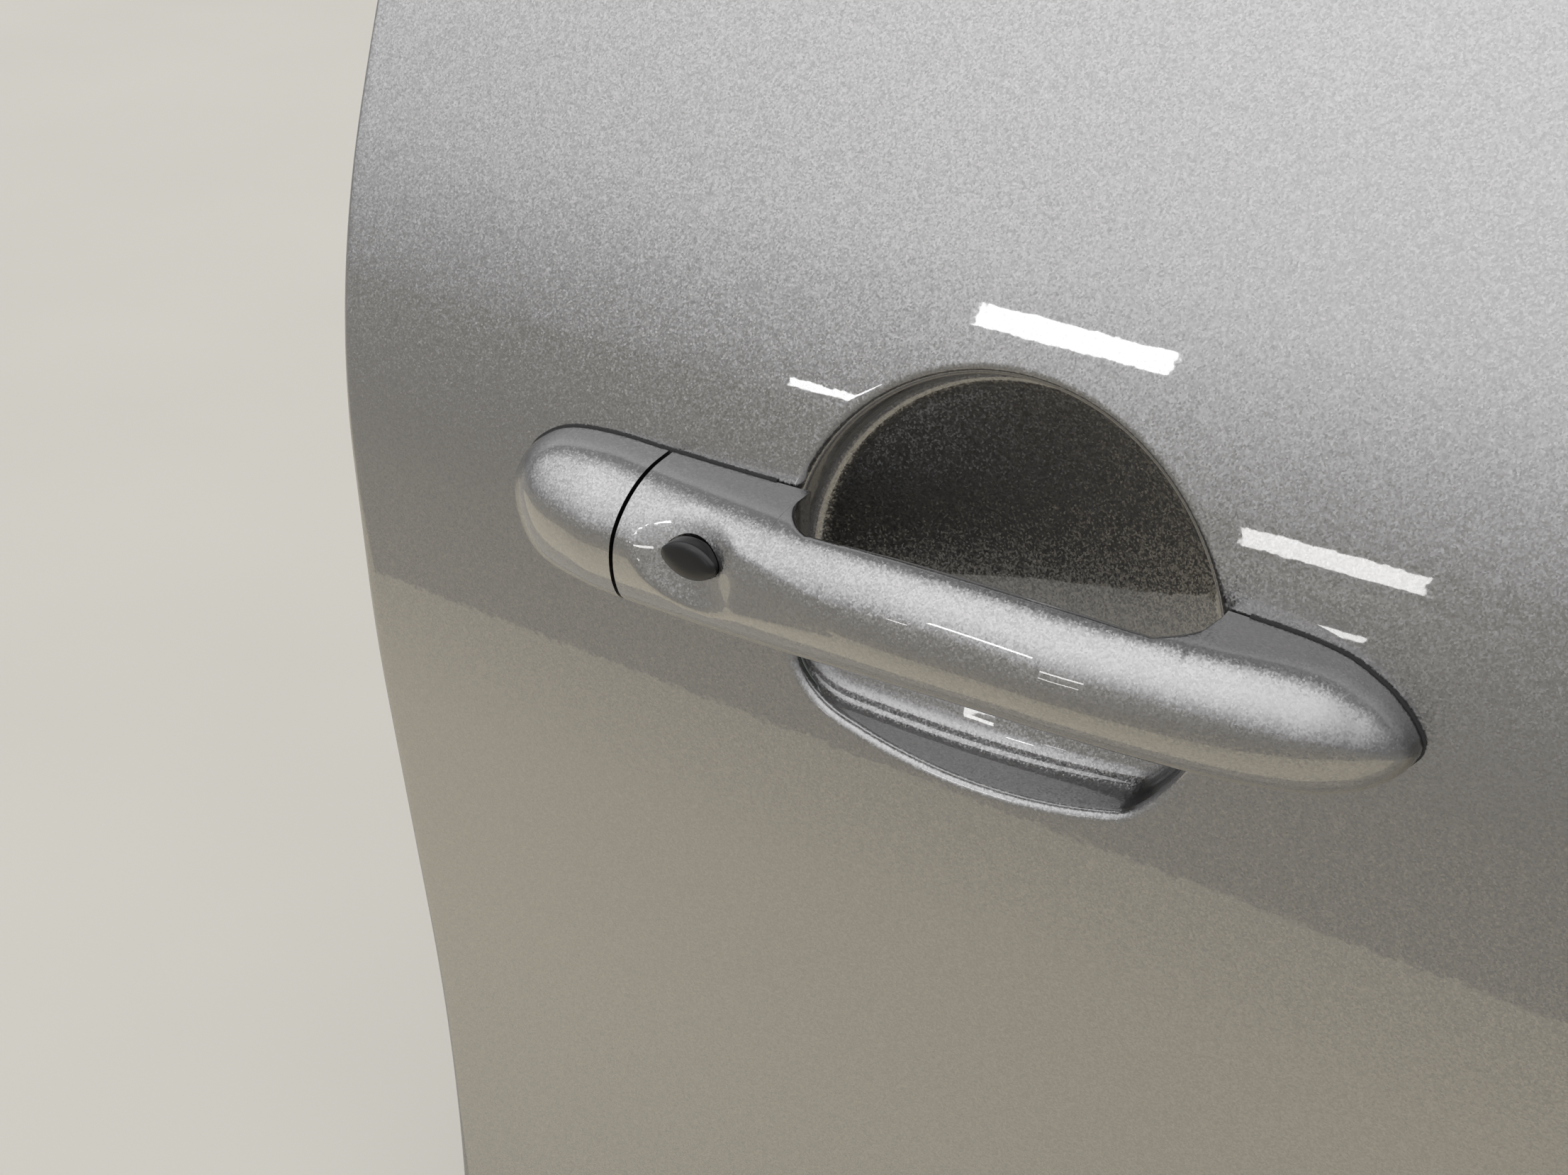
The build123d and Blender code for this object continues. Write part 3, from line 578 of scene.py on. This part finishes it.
def border_loop(columns, rows, place):
    """The grid's outermost points in order, counterclockwise seen from outside."""
    last_c, last_r = len(columns) - 1, len(rows) - 1
    steps = [(c, 0) for c in range(last_c)] + [(last_c, r) for r in range(last_r)]
    steps += [(c, last_r) for c in range(last_c, 0, -1)] + [(0, r) for r in range(last_r, 0, -1)]
    return [place(c, r) for c, r in steps]


def outline_normal(loop, i):
    """The unit normal of a closed loop at one of its points, in the XZ plane, pointing outwards."""
    along = loop[(i + 1) % len(loop)] - loop[i - 1]
    return Vector((along.z, 0, -along.x)).normalized()


def finish_wall(piece, wall, inner):
    """Gives an open shell its thickness inwards, the inner faces in their own material."""
    piece.data.materials.append(inner)
    solidify = piece.modifiers.new("wall", "SOLIDIFY")
    solidify.thickness = wall * MM
    solidify.offset = -1
    solidify.material_offset = len(piece.data.materials) - 1
    solidify.material_offset_rim = len(piece.data.materials) - 1
    apply_modifiers(piece)


def apply_modifiers(piece):
    """Makes a piece's modifiers final."""
    pick(piece)
    for modifier in list(piece.modifiers):
        bpy.ops.object.modifier_apply(modifier=modifier.name)


def cut_with(piece, cutter):
    """Cuts a closed shape out of a piece and deletes it."""
    cut = piece.modifiers.new("cut", "BOOLEAN")
    cut.operation = "DIFFERENCE"
    cut.solver = "EXACT"
    cut.object = cutter
    apply_modifiers(piece)
    bpy.data.objects.remove(cutter, do_unlink=True)


def smooth(piece):
    """Shades a piece smooth but for its edges of over 35 degrees."""
    pick(piece)
    bpy.ops.object.shade_smooth_by_angle(angle=math.radians(35))


def cut_window(piece, hole):
    """Cuts a window right through a piece that lies on the panel."""
    rear, front, low, high = hole
    deselect()
    bpy.ops.mesh.primitive_cube_add(size=1)
    cutter = bpy.context.object
    for vert in cutter.data.vertices:
        x = front if vert.co.x > 0 else rear
        y = SKIN_FACE + (THROUGH if vert.co.y > 0 else -THROUGH)
        z = high if vert.co.z > 0 else low
        vert.co = metres(x, y, z)
    cut_with(piece, cutter)


def merge_seam():
    """Enters edit mode and merges the seam where the active grid closes on itself."""
    bpy.ops.object.mode_set(mode="EDIT")
    bpy.ops.mesh.select_mode(type="VERT")
    bpy.ops.mesh.select_all(action="SELECT")
    bpy.ops.mesh.remove_doubles(threshold=MERGE)


def close_ends():
    """Fills the holes that are left, turns all faces outwards and leaves edit mode."""
    bpy.ops.mesh.select_all(action="SELECT")
    bpy.ops.mesh.fill_holes(sides=0)
    bpy.ops.mesh.normals_make_consistent(inside=False)
    bpy.ops.object.mode_set(mode="OBJECT")


# Handle's shape

def along_handle(count_between):
    """Smooth stations through the table of sections, with its columns."""
    rows = [HANDLE_SECTIONS[0]] + HANDLE_SECTIONS + [HANDLE_SECTIONS[-1]]
    stations = []
    for four in zip(rows, rows[1:], rows[2:], rows[3:]):
        for k in range(count_between):
            t = k / count_between
            stations.append(tuple(catmull(*[row[c] for row in four], t) for c in range(5)))
    stations.append(HANDLE_SECTIONS[-1])
    most = max(row[3] for row in HANDLE_SECTIONS)
    return [(x, top, bottom, min(proud, most), blade) for x, top, bottom, proud, blade in stations]


def catmull(a, b, c, d, t):
    """One coordinate of a smooth curve between b and c."""
    square = (2 * a - 5 * b + 4 * c - d) * t ** 2
    cube = (3 * b - a - 3 * c + d) * t ** 3
    return 0.5 * (2 * b + (c - a) * t + square + cube)


def station_at(x, dense):
    """The handle's top, bottom, proudness and blade share at an x, read from dense stations."""
    for a, b in zip(dense, dense[1:]):
        if x <= b[0]:
            t = (x - a[0]) / (b[0] - a[0]) if b[0] > a[0] else 0
            return [a[c] + (b[c] - a[c]) * max(0, min(1, t)) for c in (1, 2, 3, 4)]
    return list(dense[-1][1:])


def back_height(x, z, top, proud):
    """How proud the handle's back lies: on the panel, or standing off it behind the arm."""
    into = min(x - ARM_REAR, ARM_FRONT - x)
    if into <= 0:
        return min(SEAT + SKIN_FACE - skin_y(x, z), proud * CAP_SECTION[-1][1])
    bend = min(into, ARM_CORNER_R)
    stand = ARM_BACK - ARM_CORNER_R + math.sqrt(ARM_CORNER_R ** 2 - (ARM_CORNER_R - bend) ** 2)
    return stand + max(0, z - top + BLADE_BEVEL) * BEVEL_RISE * bend / ARM_CORNER_R


def section_loop(x, dense, outer, inner):
    """The closed section at an x as (z, proud) points, outer over the crown, inner on the back."""
    top, bottom, proud, blade = station_at(x, dense)
    wall, upper, crown, face, chin, lower, under = [
        (bottom + (top - bottom) * share, proud * out)
        for share, out in [part_way(a, b, blade) for a, b in zip(CAP_SECTION, BLADE_SECTION)]]

    def back(z):
        return (z, back_height(x, z, top, proud))

    arcs = arc_through(wall, upper, crown, ARC_STEPS)[:-1]
    arcs += arc_through(crown, face, chin, ARC_STEPS)[:-1]
    arcs += arc_through(chin, lower, under, ARC_STEPS)
    over = [p for p in arcs if p[1] > back(p[0])[1]]
    ends = (top, bottom) if len(over) == len(arcs) else (over[0][0] + BACK_LIFT, over[-1][0])
    loop = resample([back(ends[0])] + over + [back(ends[1])], outer)
    loop += [back(ends[1] + (ends[0] - ends[1]) * i / inner) for i in range(1, inner)]
    # ease the section's corners, but for the points of a seated one that lie on the panel
    seated = not ARM_REAR <= x <= ARM_FRONT
    for _ in range(5):
        eased = []
        for i, p in enumerate(loop):
            if not seated or p[1] - back(p[0])[1] >= SEATED:
                before, after = loop[i - 1], loop[(i + 1) % len(loop)]
                p = tuple((before[c] + 2 * p[c] + after[c]) / 4 for c in (0, 1))
            eased.append(p)
        loop = eased
    return loop


def resample(points, count):
    """The same open line with count points at even steps."""
    lengths = [0.0]
    for a, b in zip(points, points[1:]):
        lengths.append(lengths[-1] + math.dist(a, b))
    result, k = [], 0
    for i in range(count):
        want = lengths[-1] * i / (count - 1)
        while k < len(points) - 2 and lengths[k + 1] < want:
            k += 1
        span = lengths[k + 1] - lengths[k]
        t = (want - lengths[k]) / span if span else 0
        result.append(part_way(points[k], points[k + 1], t))
    return result


def dish_depth(x, z):
    """How deep the dish round the button and the flute that runs out of it are at a place."""
    hollow = 1 - ((x - BUTTON_X) / DISH_LONG) ** 2 - ((z - DISH_Z) / DISH_HIGH) ** 2
    share = (x - BUTTON_X) / (FLUTE_X - BUTTON_X)
    flute = 0.0
    if 0 <= share <= 1:
        aside = z - (DISH_Z + (FLUTE_Z - DISH_Z) * share)
        half = FLUTE_WIDE + (FLUTE_NARROW - FLUTE_WIDE) * share
        flute = (1 - share) ** 1.5 * max(0.0, 1 - (aside / half) ** 2)
    return soft_max(DISH_DEEP * soft_max(hollow, 0.0, 0.25), FLUTE_DEEP * flute, 0.4)


def soft_max(a, b, width):
    """The greater of two numbers, rounded over where they meet if either is above zero."""
    if a <= 0 and b <= 0:
        return max(a, b)
    blend = max(width - abs(a - b), 0) / width
    return max(a, b) + blend ** 2 * width / 4


def build_handle_piece(name, stations, dished):
    """A tube through stations, each an (x, lean, loop) with the loop's points as (z, proud)."""
    around = len(stations[0][2])

    def place(column, row):
        x, lean, loop = stations[column]
        z, proud = loop[row % around]
        x += lean * z
        if dished and proud > DISH_ABOVE:
            proud -= dish_depth(x, z)
        return metres(x, SKIN_FACE - proud, z)

    piece = add_grid(name, len(stations) - 1, around, place)
    merge_seam()
    bpy.ops.mesh.select_all(action="DESELECT")
    bpy.ops.mesh.select_non_manifold()
    bpy.ops.mesh.edge_face_add()
    close_ends()
    return piece


def build_cap():
    """The fixed end cap behind the split."""
    dense = along_handle(STATIONS)
    split = SPLIT_X - SPLIT_GAP / 2
    xs = widening(HANDLE_SECTIONS[0][0], CAP_ROUND, CAP_ROUND_STEPS)
    upright = xs[-1]
    xs += spread(upright, split, CAP_STEP, CAP_STEP)[1:]
    stations = []
    for x in xs:
        lean = math.tan(SPLIT_LEAN) * max(0, (x - upright) / (split - upright))
        stations.append((x, lean, section_loop(x, dense, *CAP_AROUND)))
    return build_handle_piece("handle_cap", stations, False)


def build_grip():
    """The grip, from the split to the handle's front end."""
    dense = along_handle(STATIONS)
    split = SPLIT_X + SPLIT_GAP / 2
    tip = HANDLE_SECTIONS[-1][0]
    arm_rear, arm_front = ARM_REAR + ARM_CORNER_R, ARM_FRONT - ARM_CORNER_R
    xs = spread(split, ARM_REAR - HAIR, GRIP_STEP, GRIP_STEP)
    xs += widening(ARM_REAR, ARM_CORNER_R, BEND_STEPS)
    xs += spread(arm_rear, arm_front, ARM_STEP, ARM_STEP)[1:-1]
    xs += widening(arm_front, ARM_CORNER_R, BEND_STEPS)
    xs += spread(ARM_FRONT + HAIR, tip - TIP_ROUND, NOSE_STEP, NOSE_STEP)
    xs += widening(tip - TIP_ROUND, TIP_ROUND, TIP_STEPS)[1:]
    stations = []
    for x in xs:
        lean = math.tan(SPLIT_LEAN) * max(0, 1 - (x - split) / LEAN_FADE)
        stations.append((x, lean, section_loop(x, dense, *GRIP_AROUND)))
    return build_handle_piece("pull_grip", stations, True)


def build_gasket(name, start, end):
    """The thin rubber sheet under one end of the handle, on the panel and showing all round."""
    inner, tip = (end, start) if abs(start) > abs(end) else (start, end)
    dense = [row for row in along_handle(GASKET_STATIONS) if start <= row[0] <= end]
    reach = 1 + GASKET_SHOW / abs(tip - inner)

    def place(column, row):
        x, top, bottom = dense[column][:3]
        z = bottom - GASKET_SHOW + (top - bottom + 2 * GASKET_SHOW) * row / GASKET_STRIPS
        return metres(inner + (x - inner) * reach, skin_y(x, z) - GASKET_T / 2, z)

    piece = add_grid(name, len(dense) - 1, GASKET_STRIPS, place)
    piece.data.materials.append(rubber)
    wall = piece.modifiers.new("wall", "SOLIDIFY")
    wall.thickness = GASKET_T * MM
    wall.offset = 0
    apply_modifiers(piece)
    return piece


def lens_loop(grow):
    """The button's outline as (x, z) points, counterclockwise seen from outside."""
    half, high = BUTTON_L / 2, BUTTON_H / 2
    radius = (half ** 2 + high ** 2) / (2 * high)
    below = radius - high
    # the tip's fillet touches both arcs
    tip_x = math.sqrt((radius - BUTTON_TIP_R) ** 2 - below ** 2)
    turn = math.atan2(below, tip_x)
    spans = [
        (tip_x, 0, BUTTON_TIP_R, -turn, turn),
        (0, -below, radius, turn, math.pi - turn),
        (-tip_x, 0, BUTTON_TIP_R, math.pi - turn, math.pi + turn),
        (0, below, radius, math.pi + turn, math.tau - turn),
    ]
    steps = LENS_POINTS // len(spans)
    points = []
    for cx, cz, r, start, end in spans:
        for i in range(steps):
            t = start + (end - start) * i / steps
            x, z = cx + (r + grow) * math.cos(t), cz + (r + grow) * math.sin(t)
            points.append((BUTTON_X + x, BUTTON_Z + z))
    return points


def build_button():
    """The button: its lens outline pulled outwards, rounded over and crowned."""
    loop = lens_loop(0)

    def place(column, row):
        share, below = BUTTON_PROFILE[row]
        x, z = part_way((BUTTON_X, BUTTON_Z), loop[column % len(loop)], share)
        return metres(x, SKIN_FACE - BUTTON_OUT + below, z)

    piece = add_grid("lock_button", len(loop), len(BUTTON_PROFILE) - 1, place)
    merge_seam()
    close_ends()
    return piece


def cut_button_well(piece):
    """Cuts the room for the button out of the grip, from the dish in to where its travel ends."""
    loop = lens_loop(BUTTON_FIT)
    levels = (BUTTON_OUT - BUTTON_T - BUTTON_ROOM, BUTTON_OUT + WELL_PAST)

    def place(column, row):
        x, z = loop[column % len(loop)]
        return metres(x, SKIN_FACE - levels[row], z)

    cutter = add_grid("button_cutter", len(loop), 1, place)
    merge_seam()
    close_ends()
    cut_with(piece, cutter)


# Materials

PAINT_COLOUR = "#6f6e6d"
PAINT_ROUGHNESS = 0.31
FLAKE_MM = 0.4
FLAKE_DULL, FLAKE_BRIGHT = 0.78, 1.16
FLAKE_LEAN = 0.24
PEEL_MM, PEEL_HEIGHT = 3.0, 0.006  # from crest to crest, and how high
LACQUER_IOR = 1.8


def flake_paint():
    """Silver metallic basecoat under lacquer, sprayed: fine bright flakes below a glassy coat."""
    material, tree, shader = new_material("silver_metallic_lacquer")
    place = add_node(tree, "ShaderNodeTexCoord")
    surface = add_node(tree, "ShaderNodeNewGeometry")
    # the real flakes are about 0.05 mm, too fine to show, so they are drawn 0.4 mm wide
    flakes = add_node(tree, "ShaderNodeTexVoronoi", [(place.outputs["Object"], "Vector")],
                      Scale=1 / (FLAKE_MM * MM))
    tone = add_node(tree, "ShaderNodeSeparateColor", [(flakes.outputs["Color"], "Color")])
    tint = add_node(tree, "ShaderNodeMapRange", [(tone.outputs["Red"], "Value")],
                    To_Min=FLAKE_DULL, To_Max=FLAKE_BRIGHT)
    base = add_node(tree, "ShaderNodeMix", data_type="RGBA", blend_type="MULTIPLY")
    base.inputs[0].default_value = 1.0
    base.inputs[6].default_value = linear(PAINT_COLOUR)
    tree.links.new(tint.outputs["Result"], base.inputs[7])
    tree.links.new(base.outputs[2], shader.inputs["Base Color"])
    # each flake lies a few degrees off the surface
    lean = add_node(tree, "ShaderNodeVectorMath", [(flakes.outputs["Color"], 0)],
                    operation="SUBTRACT")
    lean.inputs[1].default_value = (0.5, 0.5, 0.5)
    slight = add_node(tree, "ShaderNodeVectorMath", [(lean.outputs["Vector"], 0)],
                      operation="SCALE", Scale=FLAKE_LEAN)
    turned = add_node(tree, "ShaderNodeVectorMath",
                      [(surface.outputs["Normal"], 0), (slight.outputs["Vector"], 1)],
                      operation="ADD")
    facing = add_node(tree, "ShaderNodeVectorMath", [(turned.outputs["Vector"], 0)],
                      operation="NORMALIZE")
    tree.links.new(facing.outputs["Vector"], shader.inputs["Normal"])
    # sprayed lacquer flows out to a faint orange peel
    peel = add_node(tree, "ShaderNodeTexNoise", [(place.outputs["Object"], "Vector")],
                    Scale=1 / (PEEL_MM * MM), Detail=1.0)
    ripple = add_node(tree, "ShaderNodeBump", [(peel.outputs["Fac"], "Height")],
                      Distance=PEEL_HEIGHT * MM)
    tree.links.new(ripple.outputs["Normal"], shader.inputs["Coat Normal"])
    shader.inputs["Metallic"].default_value = 1.0
    shader.inputs["Roughness"].default_value = PAINT_ROUGHNESS
    shader.inputs["Coat Weight"].default_value = 1.0
    shader.inputs["Coat Roughness"].default_value = 0.02
    shader.inputs["Coat IOR"].default_value = LACQUER_IOR
    return material


def mottled(name, dark, light, patch_mm, roughness, grain_mm, bump_mm, metallic=0.0, ior=1.5):
    """A material that drifts between two near tones over patches and has a fine raised grain."""
    material, tree, shader = new_material(name)
    place = add_node(tree, "ShaderNodeTexCoord")
    patches = add_node(tree, "ShaderNodeTexNoise", [(place.outputs["Object"], "Vector")],
                       Scale=1 / (patch_mm * MM), Detail=3.0)
    tones = add_node(tree, "ShaderNodeMix", data_type="RGBA")
    tree.links.new(patches.outputs["Fac"], tones.inputs[0])
    tones.inputs[6].default_value = linear(dark)
    tones.inputs[7].default_value = linear(light)
    tree.links.new(tones.outputs[2], shader.inputs["Base Color"])
    grain = add_node(tree, "ShaderNodeTexNoise", [(place.outputs["Object"], "Vector")],
                     Scale=1 / (grain_mm * MM))
    bump = add_node(tree, "ShaderNodeBump", [(grain.outputs["Fac"], "Height")],
                    Distance=bump_mm * MM)
    tree.links.new(bump.outputs["Normal"], shader.inputs["Normal"])
    shader.inputs["Roughness"].default_value = roughness
    shader.inputs["Metallic"].default_value = metallic
    shader.inputs["IOR"].default_value = ior
    return material


paint = flake_paint()
# E-coat: baked grey-green primer on the sheet's inside, matt, slightly uneven where it ran
primer = mottled("electrocoat_primer", "#686f6c", "#777c79",
                 patch_mm=14.0, roughness=0.6, grain_mm=0.8, bump_mm=0.01)
# ABS moulded in a spark-eroded tool: black with a satin shine
button_plastic = mottled("satin_abs", "#050506", "#09090b",
                         patch_mm=4.0, roughness=0.25, grain_mm=0.5, bump_mm=0.002, ior=1.38)
# EPDM rubber, moulded: matt, almost black
rubber = mottled("epdm_rubber", "#0b0b0b", "#121212",
                 patch_mm=6.0, roughness=0.75, grain_mm=0.6, bump_mm=0.02)
# Bitumen damping sheet, pressed: rough, dull black
bitumen = mottled("bitumen_sheet", "#1d1d1d", "#2b2b2a",
                  patch_mm=25.0, roughness=0.85, grain_mm=3.0, bump_mm=0.25)
# Glass-filled nylon, moulded: black, mottled by its fibres. Also laid on the grip's back and
# underside as painted shade
nylon_and_painted_shade = mottled("glass_filled_nylon_and_painted_shade", "#1f1f20", "#2d2d2e",
                patch_mm=8.0, roughness=0.5, grain_mm=0.9, bump_mm=0.02)
# Die-cast zinc alloy: dull grey metal with flow marks
cast_zinc = mottled("die_cast_zinc", "#9c9b97", "#b2b1ad",
                    patch_mm=6.0, roughness=0.45, grain_mm=1.2, bump_mm=0.02, metallic=1.0)
# Steel turned and zinc plated: bright, a little cloudy
plated = mottled("zinc_plated_steel", "#bab9b3", "#cecdc6",
                 patch_mm=3.0, roughness=0.25, grain_mm=0.4, bump_mm=0.002, metallic=1.0)
# Epoxy floor paint, rolled: matt, pale, with a faint drift of tone
floor_paint = mottled("studio_floor_paint", "#a7a49c", "#adaaa2",
                      patch_mm=300.0, roughness=0.8, grain_mm=3.0, bump_mm=0.05)

NODE_MATERIALS = {
    "outer_skin": paint, "end_cap": paint, "grip": paint, "button": button_plastic,
    "rear_gasket": rubber, "front_gasket": rubber, "handle_plate": primer, "belt_rail": primer,
    "damping_pad_rear": bitumen, "damping_pad_front": bitumen, "handle_carrier": nylon_and_painted_shade,
    "grip_foot": nylon_and_painted_shade, "grip_leg": nylon_and_painted_shade, "lever": cast_zinc, "lever_pin": plated,
    "pivot_pin": plated,
}
for node_name, material in NODE_MATERIALS.items():
    for material_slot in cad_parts[node_name].material_slots:
        material_slot.material = material


# Pieces

skin = build_skin()
skin.data.materials.append(paint)
finish_wall(skin, SKIN_T, primer)
for hole in (LEG_HOLE, FOOT_HOLE):
    cut_window(skin, hole)
smooth(skin)
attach(skin, "panel")
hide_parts("outer_skin")

cap = build_cap()
cap.data.materials.append(paint)
smooth(cap)
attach(cap, "panel")
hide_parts("end_cap")

grip = build_grip()
grip.data.materials.append(paint)
cut_button_well(grip)
# painted shade: the grip's back and underside are painted black nylon, which darkens the cup's
# reflection of them
grip.data.materials.append(nylon_and_painted_shade)
for face in grip.data.polygons:
    facing = PAINTED_SHADE_ABOVE if face.center.z > 0 else PAINTED_SHADE_BELOW
    if face.normal.y > facing and ARM_REAR * MM < face.center.x < ARM_FRONT * MM:
        face.material_index = len(grip.data.materials) - 1
smooth(grip)
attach(grip, "grip")
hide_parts("grip")

button = build_button()
button.data.materials.append(button_plastic)
smooth(button)
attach(button, "button")
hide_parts("button")

for name, node_name, start, end, hole in (
    ("gasket_rear", "rear_gasket", HANDLE_SECTIONS[0][0], GASKET_REAR_END, LEG_HOLE),
    ("gasket_front", "front_gasket", GASKET_FRONT_END, HANDLE_SECTIONS[-1][0], FOOT_HOLE),
):
    gasket = build_gasket(name, start, end)
    cut_window(gasket, hole)
    smooth(gasket)
    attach(gasket, "panel")
    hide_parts(node_name)


# Camera of the photograph

bpy.ops.object.camera_add(location=metres(*CAMERA_AT))
camera = bpy.context.object
camera.rotation_euler = (math.pi / 2 - CAMERA_DOWN, 0, CAMERA_LEFT)
camera.data.sensor_width = SENSOR_MM
camera.data.lens = FOCAL_PX / PHOTO_W * SENSOR_MM
camera.data.clip_start = 0.01
bpy.context.scene.camera = camera


# Floor and light. Places and sizes are metres here

FLOOR_SIZE = 12.0
KEY_FROM = (-0.10, -0.40, 0.90)
KEY_EDGE = -0.05  # how far round from the key its light reaches, as a cosine
KEY_GLOW = 3.0
FILL_GLOW = 0.02
ROOM_GLOW = 0.5
BEHIND_EDGE, FRONT_EDGE = 0.3, -0.15  # between these the key fades, towards the panel's back
LAMP_AIM = (0.0, -0.035, 0.05)  # just above the handle
# Long lamps some way off, which the lacquer shows as streaks.
# Columns: name, direction from the handle, distance, size, glow
LAMPS = [
    ("lamp_rear", (-0.486, -0.874, -0.052), 3.0, (0.27, 0.05), 9.0),
    ("lamp_middle", (-0.383, -0.906, 0.183), 3.0, (0.36, 0.15), 8.0),
    ("lamp_front", (-0.213, -0.967, -0.121), 3.0, (0.32, 0.12), 7.0),
    ("lamp_low", (-0.200, -0.940, -0.280), 1.2, (0.13, 0.014), 7.0),
]
# A warm patch of sunlit ground, which the panel's lower half reflects
GROUND_AT = (-0.6, -0.345)
GROUND_SIZE = (3.2, 0.39)
GROUND_GLOW = 0.6


def add_floor():
    """A plain pale floor 1 mm under the panel."""
    bpy.ops.mesh.primitive_plane_add(size=FLOOR_SIZE, location=(0, 0, (PANEL_BOTTOM - 1) * MM))
    floor = bpy.context.object
    floor.name = "studio_floor"
    floor.data.materials.append(floor_paint)


def add_lamp(name, place, aim, size, glow, colour="#ffffff"):
    """A rectangular lamp facing a place, as bright as its glow says, where white paper is 1."""
    bpy.ops.object.light_add(type="AREA", location=place)
    lamp = bpy.context.object
    lamp.name = name
    lamp.data.shape = "RECTANGLE"
    lamp.data.size, lamp.data.size_y = size
    lamp.data.energy = glow * math.pi * size[0] * size[1]
    lamp.data.color = linear(colour)[:3]
    lamp.rotation_euler = (Vector(aim) - Vector(place)).to_track_quat("-Z", "Y").to_euler()
    lamp.visible_camera = False


def set_world():
    """Soft light from above and in front, in an evenly pale room."""
    world = bpy.data.worlds.new("studio")
    bpy.context.scene.world = world
    world.use_nodes = True
    tree = world.node_tree
    tree.nodes.clear()
    place = add_node(tree, "ShaderNodeTexCoord")
    toward = add_node(tree, "ShaderNodeVectorMath", [(place.outputs["Generated"], 0)],
                      operation="DOT_PRODUCT")
    toward.inputs[1].default_value = Vector(KEY_FROM).normalized()
    key = add_node(tree, "ShaderNodeMapRange", [(toward.outputs["Value"], "Value")],
                   interpolation_type="SMOOTHSTEP", From_Min=KEY_EDGE, From_Max=1.0,
                   To_Min=FILL_GLOW, To_Max=KEY_GLOW)
    apart = add_node(tree, "ShaderNodeSeparateXYZ", [(place.outputs["Generated"], "Vector")])
    front = add_node(tree, "ShaderNodeMapRange", [(apart.outputs["Y"], "Value")],
                     interpolation_type="SMOOTHSTEP", From_Min=BEHIND_EDGE, From_Max=FRONT_EDGE,
                     To_Min=FILL_GLOW, To_Max=1.0)
    light = add_node(tree, "ShaderNodeMath",
                     [(key.outputs["Result"], 0), (front.outputs["Result"], 1)],
                     operation="MULTIPLY")
    most = add_node(tree, "ShaderNodeMath", [(light.outputs["Value"], 0)], operation="MAXIMUM")
    most.inputs[1].default_value = ROOM_GLOW
    glow = add_node(tree, "ShaderNodeBackground", [(most.outputs["Value"], "Strength")])
    glow.inputs["Color"].default_value = linear("#fdfdff")
    add_node(tree, "ShaderNodeOutputWorld", [(glow.outputs[0], "Surface")])


add_floor()
set_world()
for name, toward, away, size, glow in LAMPS:
    add_lamp(name, Vector(LAMP_AIM) + Vector(toward) * away, LAMP_AIM, size, glow)
ground = (*GROUND_AT, (PANEL_BOTTOM + 2) * MM)
add_lamp("ground_glow", ground, (*GROUND_AT, 1.0), GROUND_SIZE, GROUND_GLOW, "#f5e6c4")

bpy.context.scene.view_settings.view_transform = "Standard"
